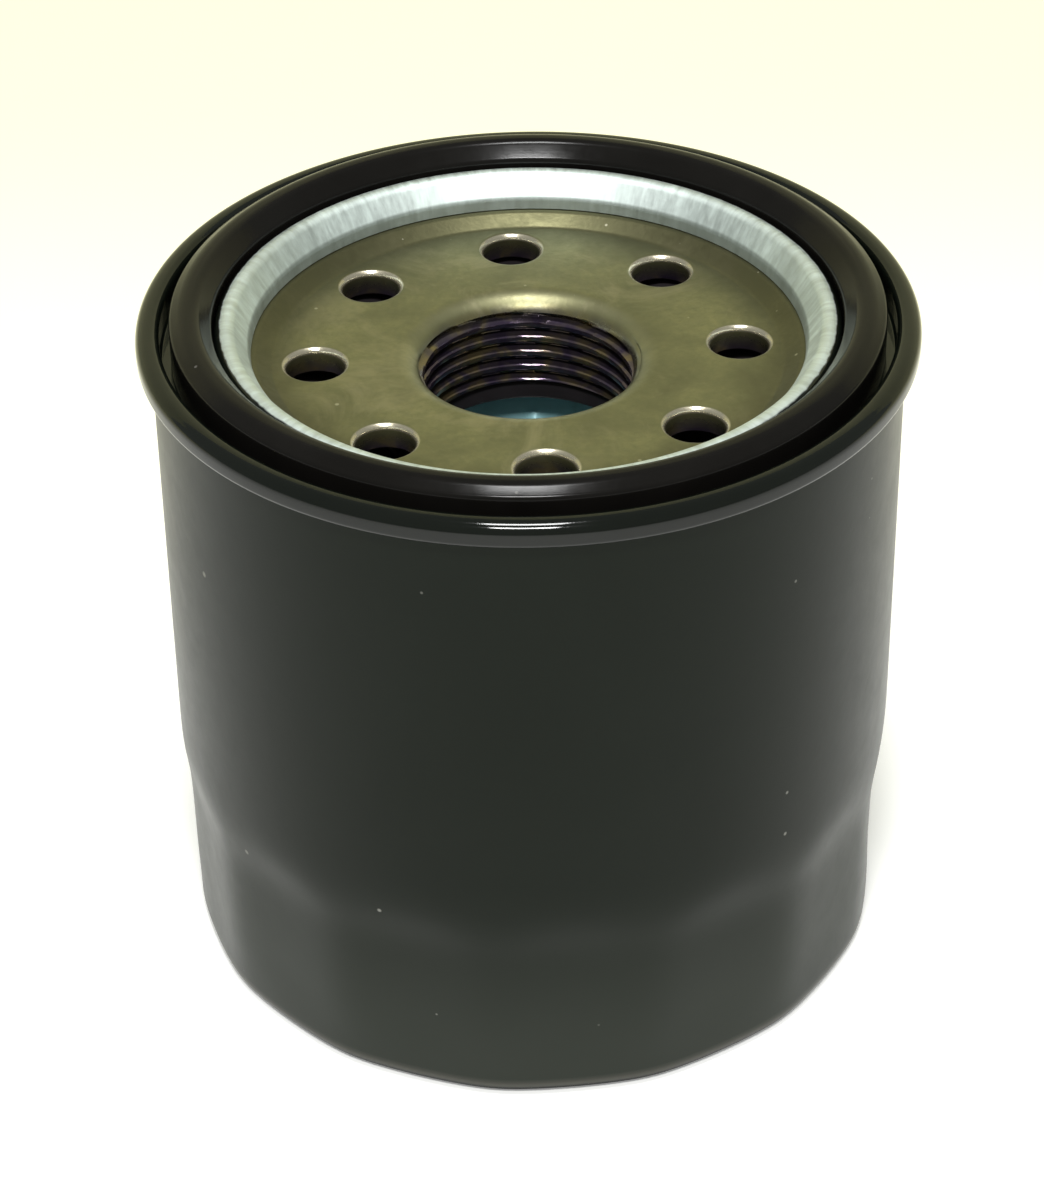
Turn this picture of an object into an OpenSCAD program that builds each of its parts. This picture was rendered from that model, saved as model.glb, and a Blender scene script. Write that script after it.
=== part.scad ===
// Spin-on oil filter for a small engine: a drawn steel can closed by a threaded plate, with the
// pleated element, its bypass valve and its anti-drain valve inside.
// The base stands on z = 0, the axis is Z, and the threaded end faces +Z.

/* [Can] */
// Outer diameter of the straight wall
can_d = 66; // [64:0.5:82]
// Height of the rolled seam's crest above the base
shell_h = 62.9; // [50:0.1:90]
// Thickness of the can's sheet
can_t = 0.4; // [0.3:0.05:0.5]
// Corner radius between the wall and the base
base_r = 1.5; // [1.2:0.1:3]
// Radius of the raised centre panel in the base
panel_r = 24; // [20:0.5:26]
// Rise of the centre panel
panel_rise = 1; // [0.5:0.1:2]

/* [Wrench flats] */
// Number of flats
flats = 14; // [12:1:16]
// Depth of a flat's upper edge below the straight wall
flat_depth = 0.9; // [0.6:0.05:1.2]
// Height of the flats' upper edge
flats_h = 17.8; // [10:0.1:24]
// Draft of the flats, in degrees
flat_draft = 0.6; // [0:0.1:3]
// Slope of the shoulder above the flats, in degrees from the wall
shoulder_angle = 35; // [25:1:60]
// Turn of the first ridge about the axis, in degrees
flats_turn = 4.93; // [0:0.01:25]

/* [Lid and seam] */
// Thickness of the lid's sheet
lid_t = 0.42; // [0.3:0.02:0.5]
// Height of the rolled seam
seam_h = 2.3; // [2:0.1:3]
// Gap between the layers of the seam
seam_gap = 0.01; // [0.01:0.01:0.03]
// Width of the lip inside the gasket channel, at its foot
lip_w = 3.1; // [2.6:0.1:4]
// Drop of the lip's crest below the seam's crest
lip_drop = 0.1; // [0:0.05:0.4]

/* [Gasket] */
// Radial width
gasket_w = 3.75; // [3:0.05:5]
// Height
gasket_h = 4.5; // [4:0.1:6]
// Height that stands proud of the seam
gasket_proud = 1.5; // [0.8:0.1:2]
// Width of the flat sealing land
land_w = 1.2; // [0.6:0.1:2]
// Gap between the gasket and the channel's outer wall
gasket_gap = 0.9; // [0.3:0.1:1.2]

/* [Tapping plate] */
// Thickness
plate_t = 2.4; // [2:0.1:3.2]
// Depth of the dish in the plate
dish = 1; // [0.5:0.1:1.4]
// Nominal diameter of the thread
thread_d = 20; // [16:1:24]
// Thread pitch
thread_pitch = 1.5; // [1:0.25:2]
// Wall of the threaded collar, from the thread's minor radius
collar_w = 2.1; // [1.8:0.1:3]
// Length of the collar below the dished face
collar_h = 8.8; // [7:0.1:11]
// Radius of the entry into the collar
entry_r = 2; // [1:0.1:2.2]
// Number of inlet holes
holes = 8; // [4:1:10]
// Diameter of an inlet hole
hole_d = 5.2; // [4:0.1:6]
// Distance from the lip's inner edge to the inlet holes' circle
hole_inset = 5.6; // [5:0.1:6]
// Turn of the inlet holes about the axis, in degrees
holes_turn = 3.2; // [0:0.1:45]

/* [Anti-drain valve] */
// Thickness of the rubber membrane
valve_t = 1.1; // [0.8:0.1:1.4]
// Thickness of the sleeve on the collar
sleeve_t = 1.15; // [0.9:0.05:1.6]
// Space between the plate and the element
valve_room = 4.75; // [4.4:0.05:6]
// Width of the sealing lip's contact ring
seal_w = 1.3; // [1:0.1:2]

/* [Element] */
// Gap between the element and the can
element_gap = 4.3; // [3:0.1:6]
// Thickness of the end caps' sheet
cap_t = 0.4; // [0.3:0.05:0.5]
// Height of the end caps' outer rim
rim_h = 3.5; // [2.5:0.1:5]
// Length of the top cap's inner collar
top_collar_h = 9.3; // [8:0.1:11]
// Length of the bottom cap's inner collar
bottom_collar_h = 5; // [4:0.1:6]
// Radius of a pip in the top cap's collar
pip_r = 0.9; // [0.6:0.05:1]
// Number of pips
pips = 4; // [3:1:6]
// Turn of the pips about the axis, in degrees
pips_turn = 86.3; // [0:0.1:120]
// Depth of the pips below the threaded collar
pip_drop = 6; // [5:0.1:7]
// Wall of the centre tube
tube_t = 0.4; // [0.3:0.05:0.6]
// Number of pleats
pleats = 48; // [36:1:52]
// Thickness of the filter paper
paper_t = 0.5; // [0.4:0.05:0.6]
// Thickness of the adhesive in each end cap
potting_t = 1.2; // [0.8:0.1:1.6]

/* [Bypass valve] */
// Radius of the seat's opening
seat_r = 6.6; // [5:0.1:7]
// Thickness of the seat's sheet
seat_t = 0.5; // [0.4:0.05:0.6]
// Width of the seal outside the opening
seal_lap = 2; // [1.5:0.1:2.2]
// Thickness of the rubber seal
seal_t = 1.1; // [0.8:0.1:1.5]
// Thickness of the poppet's and the cage's sheet
poppet_t = 0.6; // [0.4:0.05:0.8]
// Height of the cage
cage_h = 13.6; // [11:0.1:16]
// Radius of the guide pin
pin_r = 1.62; // [1.2:0.02:1.8]
// Wire diameter of the bypass spring
bypass_wire = 0.9; // [0.7:0.05:1.1]

/* [Support spring] */
// Height
support_h = 7.6; // [6:0.1:10]
// Wire diameter
support_wire = 1.5; // [1:0.1:1.8]
// Number of turns
support_turns = 2.25; // [2:0.25:2.5]

/* [Hidden] */
$fn = 96;
fine = 48;
bend_steps = 5;
over = 1;
fit_gap = 0.05;

// Radii, from the can inwards
can_r = can_d / 2;
can_ri = can_r - can_t;
wall_rc = can_ri - seam_gap - lid_t / 2;
cover_hook_rc = can_r + seam_gap + lid_t / 2;
body_hook_rc = cover_hook_rc + lid_t / 2 + seam_gap + can_t / 2;
seam_rc = body_hook_rc + can_t / 2 + seam_gap + lid_t / 2;
gasket_ro = wall_rc - lid_t / 2 - gasket_gap;
gasket_ri = gasket_ro - gasket_w;
lip_ro = gasket_ri - 2 * fit_gap;
lip_ri = lip_ro - lip_w;
plate_r = can_ri - 3 * fit_gap;
hole_circle_r = lip_ri - hole_inset;

// Radii, from the thread outwards
minor_drop = 0.5413;
thread_r = thread_d / 2 - minor_drop * thread_pitch;
collar_ro = thread_r + collar_w;
sleeve_ri = collar_ro + fit_gap;
sleeve_ro = sleeve_ri + sleeve_t;
sleeve_gap = 0.2;
cap_ri = sleeve_ro + sleeve_gap;
tube_ri = cap_ri + cap_t + fit_gap;
tube_ro = tube_ri + tube_t;
paper_gap = 0.35;
paper_ri = tube_ro + paper_gap;
cap_ro = can_ri - element_gap;
paper_ro = cap_ro - cap_t - paper_gap;

// Heights
floor_z = panel_rise + can_t;
gasket_top = shell_h + gasket_proud;
channel_z = gasket_top - gasket_h;
plate_top = channel_z - lid_t;
dish_top = plate_top - dish;
dish_under = dish_top - plate_t;
collar_end = dish_top - collar_h;
element_top = dish_under - valve_room;
element_base = floor_z + support_h;
cap_top_in = element_top - cap_t;
cap_base_in = element_base + cap_t;
paper_top = cap_top_in - potting_t;
paper_base = cap_base_in + potting_t;

// Wrench flats
flat_r = can_r - flat_depth;
flat_base_r = flat_r - (flats_h - base_r) * tan(flat_draft);

// Bypass valve
cup_ro = cap_ri - fit_gap;
cup_h = 3.6;
seat_lip = 0.65;
seat_top = element_base + seat_t + seat_lip;
seal_ro = seat_r + seal_lap;
pin_neck_r = pin_r + 0.4;
plate_z = seat_top + fit_gap + seal_t;
cage_ro = cup_ro - seat_t - 5 * fit_gap;
cage_leg_r = cage_ro - 1.2;
cage_base = element_base + seat_t + fit_gap;
cage_top = cage_base + cage_h;
guide_clearance = 0.08;
bypass_turns = 5.5;
bypass_spring_r = 5.4;

// ---------- outline helpers: points are [radius, height], corners may add a fillet radius ----------

function flat2(p) = [p[0], p[1]];
function unit(v) = v / norm(v);
function wrap(a) = a > 180 ? a - 360 : a < -180 ? a + 360 : a;

// The points of one corner b between a and c, rounded with radius rad
function corner(a, b, c, rad) =
    rad == undef || rad <= 0 ? [flat2(b)] :
    let (
        u = unit(flat2(a) - flat2(b)),
        v = unit(flat2(c) - flat2(b)),
        half = acos(u * v) / 2,
        o = flat2(b) + unit(u + v) * rad / sin(half),
        s = flat2(b) + u * rad / tan(half) - o,
        e = flat2(b) + v * rad / tan(half) - o,
        a0 = atan2(s[1], s[0]),
        sweep = wrap(atan2(e[1], e[0]) - a0)
    )
    [for (i = [0:bend_steps]) o + rad * [cos(a0 + sweep * i / bend_steps), sin(a0 + sweep * i / bend_steps)]];

// An open path and a closed outline with rounded corners
function open_path(p) = [
    for (i = [0:len(p) - 1])
        each (i == 0 || i == len(p) - 1) ? [flat2(p[i])] : corner(p[i - 1], p[i], p[i + 1], p[i][2])
];
function outline(p) = [
    for (i = [0:len(p) - 1])
        each corner(p[(i + len(p) - 1) % len(p)], p[i], p[(i + 1) % len(p)], p[i][2])
];

// One side of a path, d away from it, with mitred corners
function mitre(p, i) =
    let (
        a = unit(i > 0 ? p[i] - p[i - 1] : p[1] - p[0]),
        b = unit(i < len(p) - 1 ? p[i + 1] - p[i] : p[i] - p[i - 1]),
        m = unit([-a[1] - b[1], a[0] + b[0]])
    )
    m / (m * [-a[1], a[0]]);
function side(p, d) = [for (i = [0:len(p) - 1]) p[i] + d * mitre(p, i)];
function reversed(p) = [for (i = [len(p) - 1:-1:0]) p[i]];
function sheet(p, t) = concat(side(p, t / 2), reversed(side(p, -t / 2)));

// A sheet-metal pressing whose mid-surface is the path p, turned about the axis
module pressing(p, t) {
    rotate_extrude()
        polygon(sheet(open_path(p), t));
}

// A turned or moulded ring with the closed outline p
module ring(p) {
    rotate_extrude()
        polygon(outline(p));
}

// A tube of n sides along the points of a path that rises about the axis
module wire(path, d, n = 8) {
    count = len(path);
    points = [
        for (i = [0:count - 1])
            let (
                t = unit(path[min(i + 1, count - 1)] - path[max(i - 1, 0)]),
                u = unit([path[i][0], path[i][1], 0]),
                w = unit(cross(t, u)),
                v = cross(w, t)
            )
            for (j = [0:n - 1]) path[i] + d / 2 * (cos(j * 360 / n) * v + sin(j * 360 / n) * w)
    ];
    walls = [
        for (i = [0:count - 2], j = [0:n - 1])
            [i * n + j, i * n + (j + 1) % n, (i + 1) * n + (j + 1) % n, (i + 1) * n + j]
    ];
    ends = [[for (j = [n - 1:-1:0]) j], [for (j = [0:n - 1]) (count - 1) * n + j]];
    polyhedron(points, concat(walls, ends), convexity = 6);
}

// The middle line of a coil spring between z0 and z1, with its end turns laid flat
function coil_rise(s, flat_share) = min(1, max(0, (s - flat_share) / (1 - 2 * flat_share)));
function coil(r0, r1, z0, z1, d, turns, steps) =
    let (
        n = ceil(turns * steps),
        low = z0 + d / 2,
        high = z1 - d / 2,
        share = 0.75 / turns,
        lie = d * 1.02 * share * turns
    )
    [for (i = [0:n])
        let (
            s = i / n,
            a = 360 * turns * s,
            r = r0 + (r1 - r0) * s,
            creep = lie * (min(s, share) + max(0, s - 1 + share)) / share,
            z = low + creep + (high - low - 2 * lie) * coil_rise(s, share)
        )
        [r * cos(a), r * sin(a), z]];

// ---------- can ----------

// What is cut away outside one wrench flat, for the form that lies o inside the can's outer face
module flat_cutter(o) {
    corner_r = base_r - o;
    foot = flat_base_r - o;
    top_r = flat_r - o;
    ridge_z = flats_h + o * tan((shoulder_angle + flat_draft) / 2);
    rise = (can_r + over - top_r) / tan(shoulder_angle);
    far = can_r + 4 * over;
    width = 2 * can_r * tan(180 / flats) * 1.15;
    face = [
        for (i = [0:bend_steps])
            [foot - corner_r + corner_r * sin(90 * i / bend_steps),
             base_r - corner_r * cos(90 * i / bend_steps)]
    ];
    translate([0, width / 2, 0])
        rotate([90, 0, 0])
            linear_extrude(width)
                polygon(concat(
                    [[foot - corner_r, o - over]],
                    face,
                    [[top_r, ridge_z], [can_r + over, ridge_z + rise], [far, ridge_z + rise], [far, o - over]]
                ));
}

// The can's solid form, o inside its outer face, up to the height top
module can_form(o, top) {
    difference() {
        translate([0, 0, o])
            cylinder(r = can_r - o, h = top - o);
        for (k = [0:flats - 1])
            rotate([0, 0, flats_turn + (k + 0.5) * 360 / flats])
                flat_cutter(o);
        translate([0, 0, -over])
            cylinder(r1 = panel_r + o + over, r2 = panel_r + o - panel_rise, h = panel_rise + o + over);
    }
}

module can() {
    hook_z = shell_h - lid_t - seam_gap - can_t / 2;
    neck_z = shell_h - seam_h - over;
    tip_z = shell_h - seam_h + lid_t + 2 * fit_gap;
    color([0.13, 0.13, 0.12]) {
        difference() {
            can_form(0, neck_z);
            can_form(can_t, neck_z + over);
        }
        pressing([
            [can_r - can_t / 2, neck_z],
            [can_r - can_t / 2, hook_z, 0.25],
            [body_hook_rc, hook_z, 0.25],
            [body_hook_rc, tip_z]
        ], can_t);
    }
}

// ---------- lid, seam and gasket ----------

cover_tip_z = shell_h - lid_t - can_t - seam_gap - 0.4;

module seaming_lid() {
    top_z = shell_h - lid_t / 2;
    crest_z = top_z - lip_drop;
    low_z = shell_h - seam_h + lid_t / 2;
    floor_zc = channel_z - lid_t / 2;
    lip_rc = lip_ri + lid_t / 2;
    color([0.72, 0.74, 0.75])
        pressing([
            [lip_rc, plate_top + fit_gap],
            [lip_rc + 0.12, plate_top + 1, 0.9],
            [lip_rc + lip_w / 2, crest_z, 0.8],
            [lip_ro - lid_t / 2, crest_z - 0.45, 0.6],
            [lip_ro - lid_t / 2, floor_zc, 0.4],
            [wall_rc, floor_zc, 0.4],
            [wall_rc, top_z, 0.5],
            [seam_rc, top_z, 0.5],
            [seam_rc, low_z, 0.35],
            [cover_hook_rc, low_z, 0.3],
            [cover_hook_rc, cover_tip_z]
        ], lid_t);
}

module seam_sealant() {
    inner = can_r + seam_gap;
    outer = inner + lid_t;
    base = cover_tip_z + seam_gap;
    top = shell_h - lid_t - can_t - 3 * seam_gap;
    color([0.35, 0.45, 0.35])
        ring([[inner, base], [outer, base], [outer, top, 0.15], [inner, top, 0.15]]);
}

module gasket() {
    land_ri = gasket_ri + 0.9;
    land_ro = land_ri + land_w;
    color([0.05, 0.05, 0.05])
        ring([
            [gasket_ri, channel_z, 0.3],
            [gasket_ro, channel_z, 0.3],
            [gasket_ro, gasket_top - 0.55, 0.3],
            [land_ro, gasket_top, 0.8],
            [land_ri, gasket_top, 0.5],
            [gasket_ri, gasket_top - 1.3, 0.8]
        ]);
}

// ---------- tapping plate and anti-drain valve ----------

dish_ro = lip_ri - 0.3;
dish_ri = dish_ro - 1.6;
seal_ri = dish_ro + 0.4;

module tapping_plate() {
    color([0.62, 0.60, 0.45])
        difference() {
            ring([
                [plate_r, plate_top, 0.2],
                [dish_ro, plate_top, 1],
                [dish_ri, dish_top, 1],
                [thread_r, dish_top, entry_r],
                [thread_r, collar_end, 0.2],
                [collar_ro, collar_end, 0.3],
                [collar_ro, dish_under, 0.8],
                [dish_ri, dish_under, 1],
                [dish_ro, plate_top - plate_t, 1],
                [plate_r, plate_top - plate_t, 0.2]
            ]);
            for (k = [0:holes - 1])
                rotate([0, 0, holes_turn + k * 360 / holes])
                    translate([hole_circle_r, 0, dish_under - over])
                        cylinder(d = hole_d, h = plate_t + 2 * over, $fn = fine);
        }
}

module anti_drain_valve() {
    stop_r = thread_r + 0.55;
    stop_z = collar_end - fit_gap;
    seat_z = element_top + fit_gap;
    seal_z = plate_top - plate_t - fit_gap;
    bend_r = dish_ri - 0.2;
    bend_z = dish_under - 0.7;
    root_r = sleeve_ro + 1.6;
    color([0.1, 0.1, 0.1])
        ring([
            [stop_r, stop_z - 2, 0.3],
            [sleeve_ro, stop_z - 2, 0.4],
            [sleeve_ro, seat_z, 0.2],
            [root_r + 0.7, seat_z, 0.5],
            [bend_r + 0.4, bend_z - valve_t, 1],
            [seal_ri + 0.2, seal_z - 1.15, 0.4],
            [seal_ri + seal_w, seal_z - 0.9, 0.3],
            [seal_ri + seal_w, seal_z, 0.3],
            [seal_ri, seal_z, 0.2],
            [bend_r, bend_z, 0.8],
            [root_r, seat_z + valve_t, 0.6],
            [sleeve_ro + 0.9, seat_z + valve_t, 0.4],
            [sleeve_ro + 0.9, dish_under - fit_gap, 0.2],
            [sleeve_ri + 1, dish_under - fit_gap, 0.1],
            [sleeve_ri, dish_under - 1.1, 0.3],
            [sleeve_ri, stop_z, 0.1],
            [stop_r, stop_z, 0.3]
        ]);
}

// ---------- element ----------

// The sheet path of an end cap: its inner collar, its face and its outer rim, with dir = 1 where
// they point down from the face and -1 where they point up
module end_cap(face_z, collar_len, dir) {
    pressing([
        [cap_ri + cap_t / 2, face_z - dir * collar_len],
        [cap_ri + cap_t / 2, face_z, 0.45],
        [cap_ro - cap_t / 2, face_z, 0.45],
        [cap_ro - cap_t / 2, face_z - dir * rim_h]
    ], cap_t);
}

module top_end_cap() {
    pip_z = collar_end - pip_drop;
    color([0.45, 0.62, 0.64]) {
        end_cap(element_top - cap_t / 2, top_collar_h, 1);
        intersection() {
            for (k = [0:pips - 1])
                rotate([0, 0, pips_turn + k * 360 / pips])
                    translate([cap_ri + cap_t / 2, 0, pip_z])
                        sphere(r = pip_r, $fn = fine);
            translate([0, 0, pip_z - 2 * pip_r])
                cylinder(r = cap_ri + 0.6 * cap_t, h = 4 * pip_r);
        }
    }
}

module bottom_end_cap() {
    color([0.45, 0.62, 0.64])
        end_cap(element_base + cap_t / 2, bottom_collar_h, -1);
}

module potting(base) {
    color([0.75, 0.25, 0.2])
        ring([
            [tube_ro + fit_gap, base, 0.1],
            [cap_ro - cap_t - fit_gap, base, 0.35],
            [cap_ro - cap_t - fit_gap, base + potting_t, 0.35],
            [tube_ro + fit_gap, base + potting_t, 0.1]
        ]);
}

module top_potting() {
    potting(paper_top);
}

module bottom_potting() {
    potting(cap_base_in);
}

// A zigzag ring: each fold is a point out at the rim and a point in at the tube
module pleated_media() {
    half = paper_t / 2;
    step = 360 / pleats;
    outer = [
        for (k = [0:pleats - 1])
            each [
                for (s = [-1, 1]) [paper_ro, k * step + s * asin(half / paper_ro)],
                for (s = [-1, 1]) [paper_ri + paper_t, (k + 0.5) * step + s * asin(0.1 / paper_ri)]
            ]
    ];
    inner = [
        for (k = [0:pleats - 1])
            each [
                for (s = [-1, 1]) [paper_ro - paper_t, k * step + s * asin(0.1 / paper_ro)],
                for (s = [-1, 1]) [paper_ri, (k + 0.5) * step + s * asin(half / paper_ri)]
            ]
    ];
    color([0.88, 0.80, 0.62])
        translate([0, 0, paper_base])
            linear_extrude(paper_top - paper_base)
                difference() {
                    polygon([for (p = outer) p[0] * [cos(p[1]), sin(p[1])]]);
                    polygon([for (p = inner) p[0] * [cos(p[1]), sin(p[1])]]);
                }
}

// A folded strip that holds the two ends of the paper together on one pleat
module media_clip() {
    clip_t = 0.25;
    clip_depth = 2.4;
    slot = paper_t / 2 + 0.25;
    back = paper_ro + fit_gap;
    color([0.7, 0.72, 0.73])
        translate([0, 0, paper_base])
            linear_extrude(paper_top - paper_base)
                difference() {
                    translate([back - clip_depth, -slot - clip_t])
                        square([clip_depth + clip_t, 2 * (slot + clip_t)]);
                    translate([back - clip_depth - over, -slot])
                        square([clip_depth + over, 2 * slot]);
                }
}

// A perforated tube: rows of holes, every other row turned by half a step
module centre_tube() {
    tube_base = cap_base_in + 0.3;
    tube_top = cap_top_in - 0.3;
    perf_d = 3.6;
    perf_count = 10;
    row_pitch = 5.2;
    low = element_base + bottom_collar_h + row_pitch * 0.7;
    high = element_top - top_collar_h - row_pitch * 0.7;
    rows = floor((high - low) / row_pitch) + 1;
    color([0.62, 0.68, 0.7])
        difference() {
            translate([0, 0, tube_base])
                cylinder(r = tube_ro, h = tube_top - tube_base);
            translate([0, 0, tube_base - over])
                cylinder(r = tube_ri, h = tube_top - tube_base + 2 * over);
            for (row = [0:rows - 1], k = [0:perf_count - 1])
                rotate([0, 0, (k + (row % 2) / 2) * 360 / perf_count])
                    translate([tube_ri - over, 0, low + row * row_pitch])
                        rotate([0, 90, 0])
                            cylinder(d = perf_d, h = tube_t + 2 * over, $fn = 24);
        }
}

// ---------- bypass valve ----------

module bypass_seat() {
    zc = element_base + seat_t / 2;
    color([0.66, 0.68, 0.66])
        pressing([
            [cup_ro - seat_t / 2, element_base + cup_h],
            [cup_ro - seat_t / 2, zc, 0.5],
            [seat_r + 1.2, zc, 0.4],
            [seat_r + seat_t / 2, zc + seat_lip]
        ], seat_t);
}

module bypass_seal() {
    base = seat_top + fit_gap;
    color([0.08, 0.08, 0.08])
        ring([
            [pin_neck_r + fit_gap, base, 0.1],
            [seal_ro, base, 0.25],
            [seal_ro, base + seal_t, 0.1],
            [pin_neck_r + fit_gap, base + seal_t, 0.1]
        ]);
}

module bypass_poppet() {
    zc = plate_z + poppet_t / 2;
    rim_rc = seal_ro + fit_gap + poppet_t / 2;
    color([0.7, 0.72, 0.7])
        pressing([
            [pin_neck_r + fit_gap, zc],
            [rim_rc, zc, 0.35],
            [rim_rc, plate_z - seal_t * 0.55]
        ], poppet_t);
}

// A rivet that holds the poppet to its seal and runs in the cage's guide hole
module bypass_pin() {
    head_top = seat_top;
    shoulder_z = plate_z + poppet_t + fit_gap;
    color([0.75, 0.76, 0.76])
        ring([
            [0, head_top - 0.9],
            [pin_r * 2, head_top - 0.9, 0.3],
            [pin_r * 2, head_top, 0.1],
            [pin_neck_r, head_top],
            [pin_neck_r, shoulder_z],
            [pin_neck_r + 0.7, shoulder_z, 0.1],
            [pin_neck_r + 0.7, shoulder_z + 0.7, 0.2],
            [pin_r, shoulder_z + 0.7],
            [pin_r, cage_top + 1.8, 0.4],
            [0, cage_top + 1.8]
        ]);
}

module bypass_spring() {
    color([0.6, 0.62, 0.64])
        wire(coil(bypass_spring_r, bypass_spring_r, plate_z + poppet_t + fit_gap,
            cage_top - poppet_t - fit_gap, bypass_wire, bypass_turns, 20), bypass_wire);
}

// A hat with four windows, whose crown guides the pin and holds the spring down
module bypass_cage() {
    windows = 4;
    window_w = 10;
    window_base = cage_base + poppet_t + 1.2;
    window_top = cage_top - poppet_t - 0.6;
    color([0.66, 0.68, 0.66])
        difference() {
            pressing([
                [cage_ro, cage_base + poppet_t / 2],
                [cage_leg_r, cage_base + poppet_t / 2, 0.35],
                [cage_leg_r, cage_top - poppet_t / 2, 0.8],
                [pin_r + guide_clearance, cage_top - poppet_t / 2]
            ], poppet_t);
            for (k = [0:windows - 1])
                rotate([0, 0, k * 360 / windows])
                    translate([bypass_spring_r + bypass_wire, -window_w / 2, window_base])
                        cube([cage_ro, window_w, window_top - window_base]);
        }
}

// ---------- support spring ----------

module support_spring() {
    top_r = tube_ro + 2.2;
    color([0.5, 0.52, 0.54])
        wire(coil(top_r + 2, top_r, floor_z + fit_gap, element_base - fit_gap,
            support_wire, support_turns, 28), support_wire);
}

can();
seaming_lid();
seam_sealant();
tapping_plate();
gasket();
anti_drain_valve();
top_end_cap();
top_potting();
pleated_media();
media_clip();
centre_tube();
bottom_potting();
bottom_end_cap();
bypass_seat();
bypass_seal();
bypass_poppet();
bypass_pin();
bypass_spring();
bypass_cage();
support_spring();
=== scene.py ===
"""Spin-on oil filter: the looks round the fixed frame.

Lengths inside the builders are in millimetres with the base on z = 0 and the axis on Z, and become
metres when a mesh is made. A profile is an array of (radius, height) points.
"""
import math
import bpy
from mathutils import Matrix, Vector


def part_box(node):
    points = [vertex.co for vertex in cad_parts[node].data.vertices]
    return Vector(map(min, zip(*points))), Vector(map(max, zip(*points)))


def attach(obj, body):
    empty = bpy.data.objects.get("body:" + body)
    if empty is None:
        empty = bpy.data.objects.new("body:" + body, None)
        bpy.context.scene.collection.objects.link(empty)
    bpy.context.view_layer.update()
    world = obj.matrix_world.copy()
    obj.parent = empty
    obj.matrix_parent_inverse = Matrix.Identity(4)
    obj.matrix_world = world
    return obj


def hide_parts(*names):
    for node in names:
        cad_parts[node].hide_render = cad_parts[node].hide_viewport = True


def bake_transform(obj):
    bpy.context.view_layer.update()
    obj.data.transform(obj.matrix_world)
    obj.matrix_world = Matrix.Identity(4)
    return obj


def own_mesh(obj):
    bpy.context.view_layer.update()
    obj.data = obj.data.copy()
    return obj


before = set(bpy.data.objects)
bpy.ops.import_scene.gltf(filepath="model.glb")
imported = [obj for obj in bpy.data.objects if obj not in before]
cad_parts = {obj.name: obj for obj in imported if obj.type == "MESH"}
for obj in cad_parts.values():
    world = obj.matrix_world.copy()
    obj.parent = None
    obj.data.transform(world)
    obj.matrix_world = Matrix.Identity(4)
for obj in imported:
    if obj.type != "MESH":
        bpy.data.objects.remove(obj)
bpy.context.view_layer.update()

from types import SimpleNamespace

import bmesh
import bpy
import numpy as np
from bpy.props import FloatProperty, FloatVectorProperty, IntProperty, PointerProperty
from mathutils import Matrix, Vector

bl_info = {
    "name": "Spin-on Oil Filter",
    "version": (1, 0, 0),
    "blender": (4, 5, 0),
    "location": "View3D > Sidebar > Oil Filter",
    "description": "Builds the looks of a small-engine oil filter round its packed frame",
    "category": "Object",
}

MM = 0.001
TURN = 2 * math.pi
# play between parts that are pressed or rolled together, in millimetres
PLAY = 0.01
# columns round the axis of the pieces that form the rim
RIM_COLUMNS = 320
# finishes by name, filled once
FINISHES = {}


def cad(node):
    """Lowest and highest corner of a CAD node, in millimetres."""
    low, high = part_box(node)
    return np.array(low) / MM, np.array(high) / MM


# ---------------------------------------------------------------- sizes and colours

def length(name, description, default_mm):
    """A length property whose default is given in millimetres."""
    return FloatProperty(name=name, description=description, default=default_mm * MM,
                         unit="LENGTH", subtype="DISTANCE", precision=5)


def colour(name, description, default):
    """A colour property."""
    return FloatVectorProperty(name=name, description=description, default=default,
                               size=3, min=0, max=1, subtype="COLOR")


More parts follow.
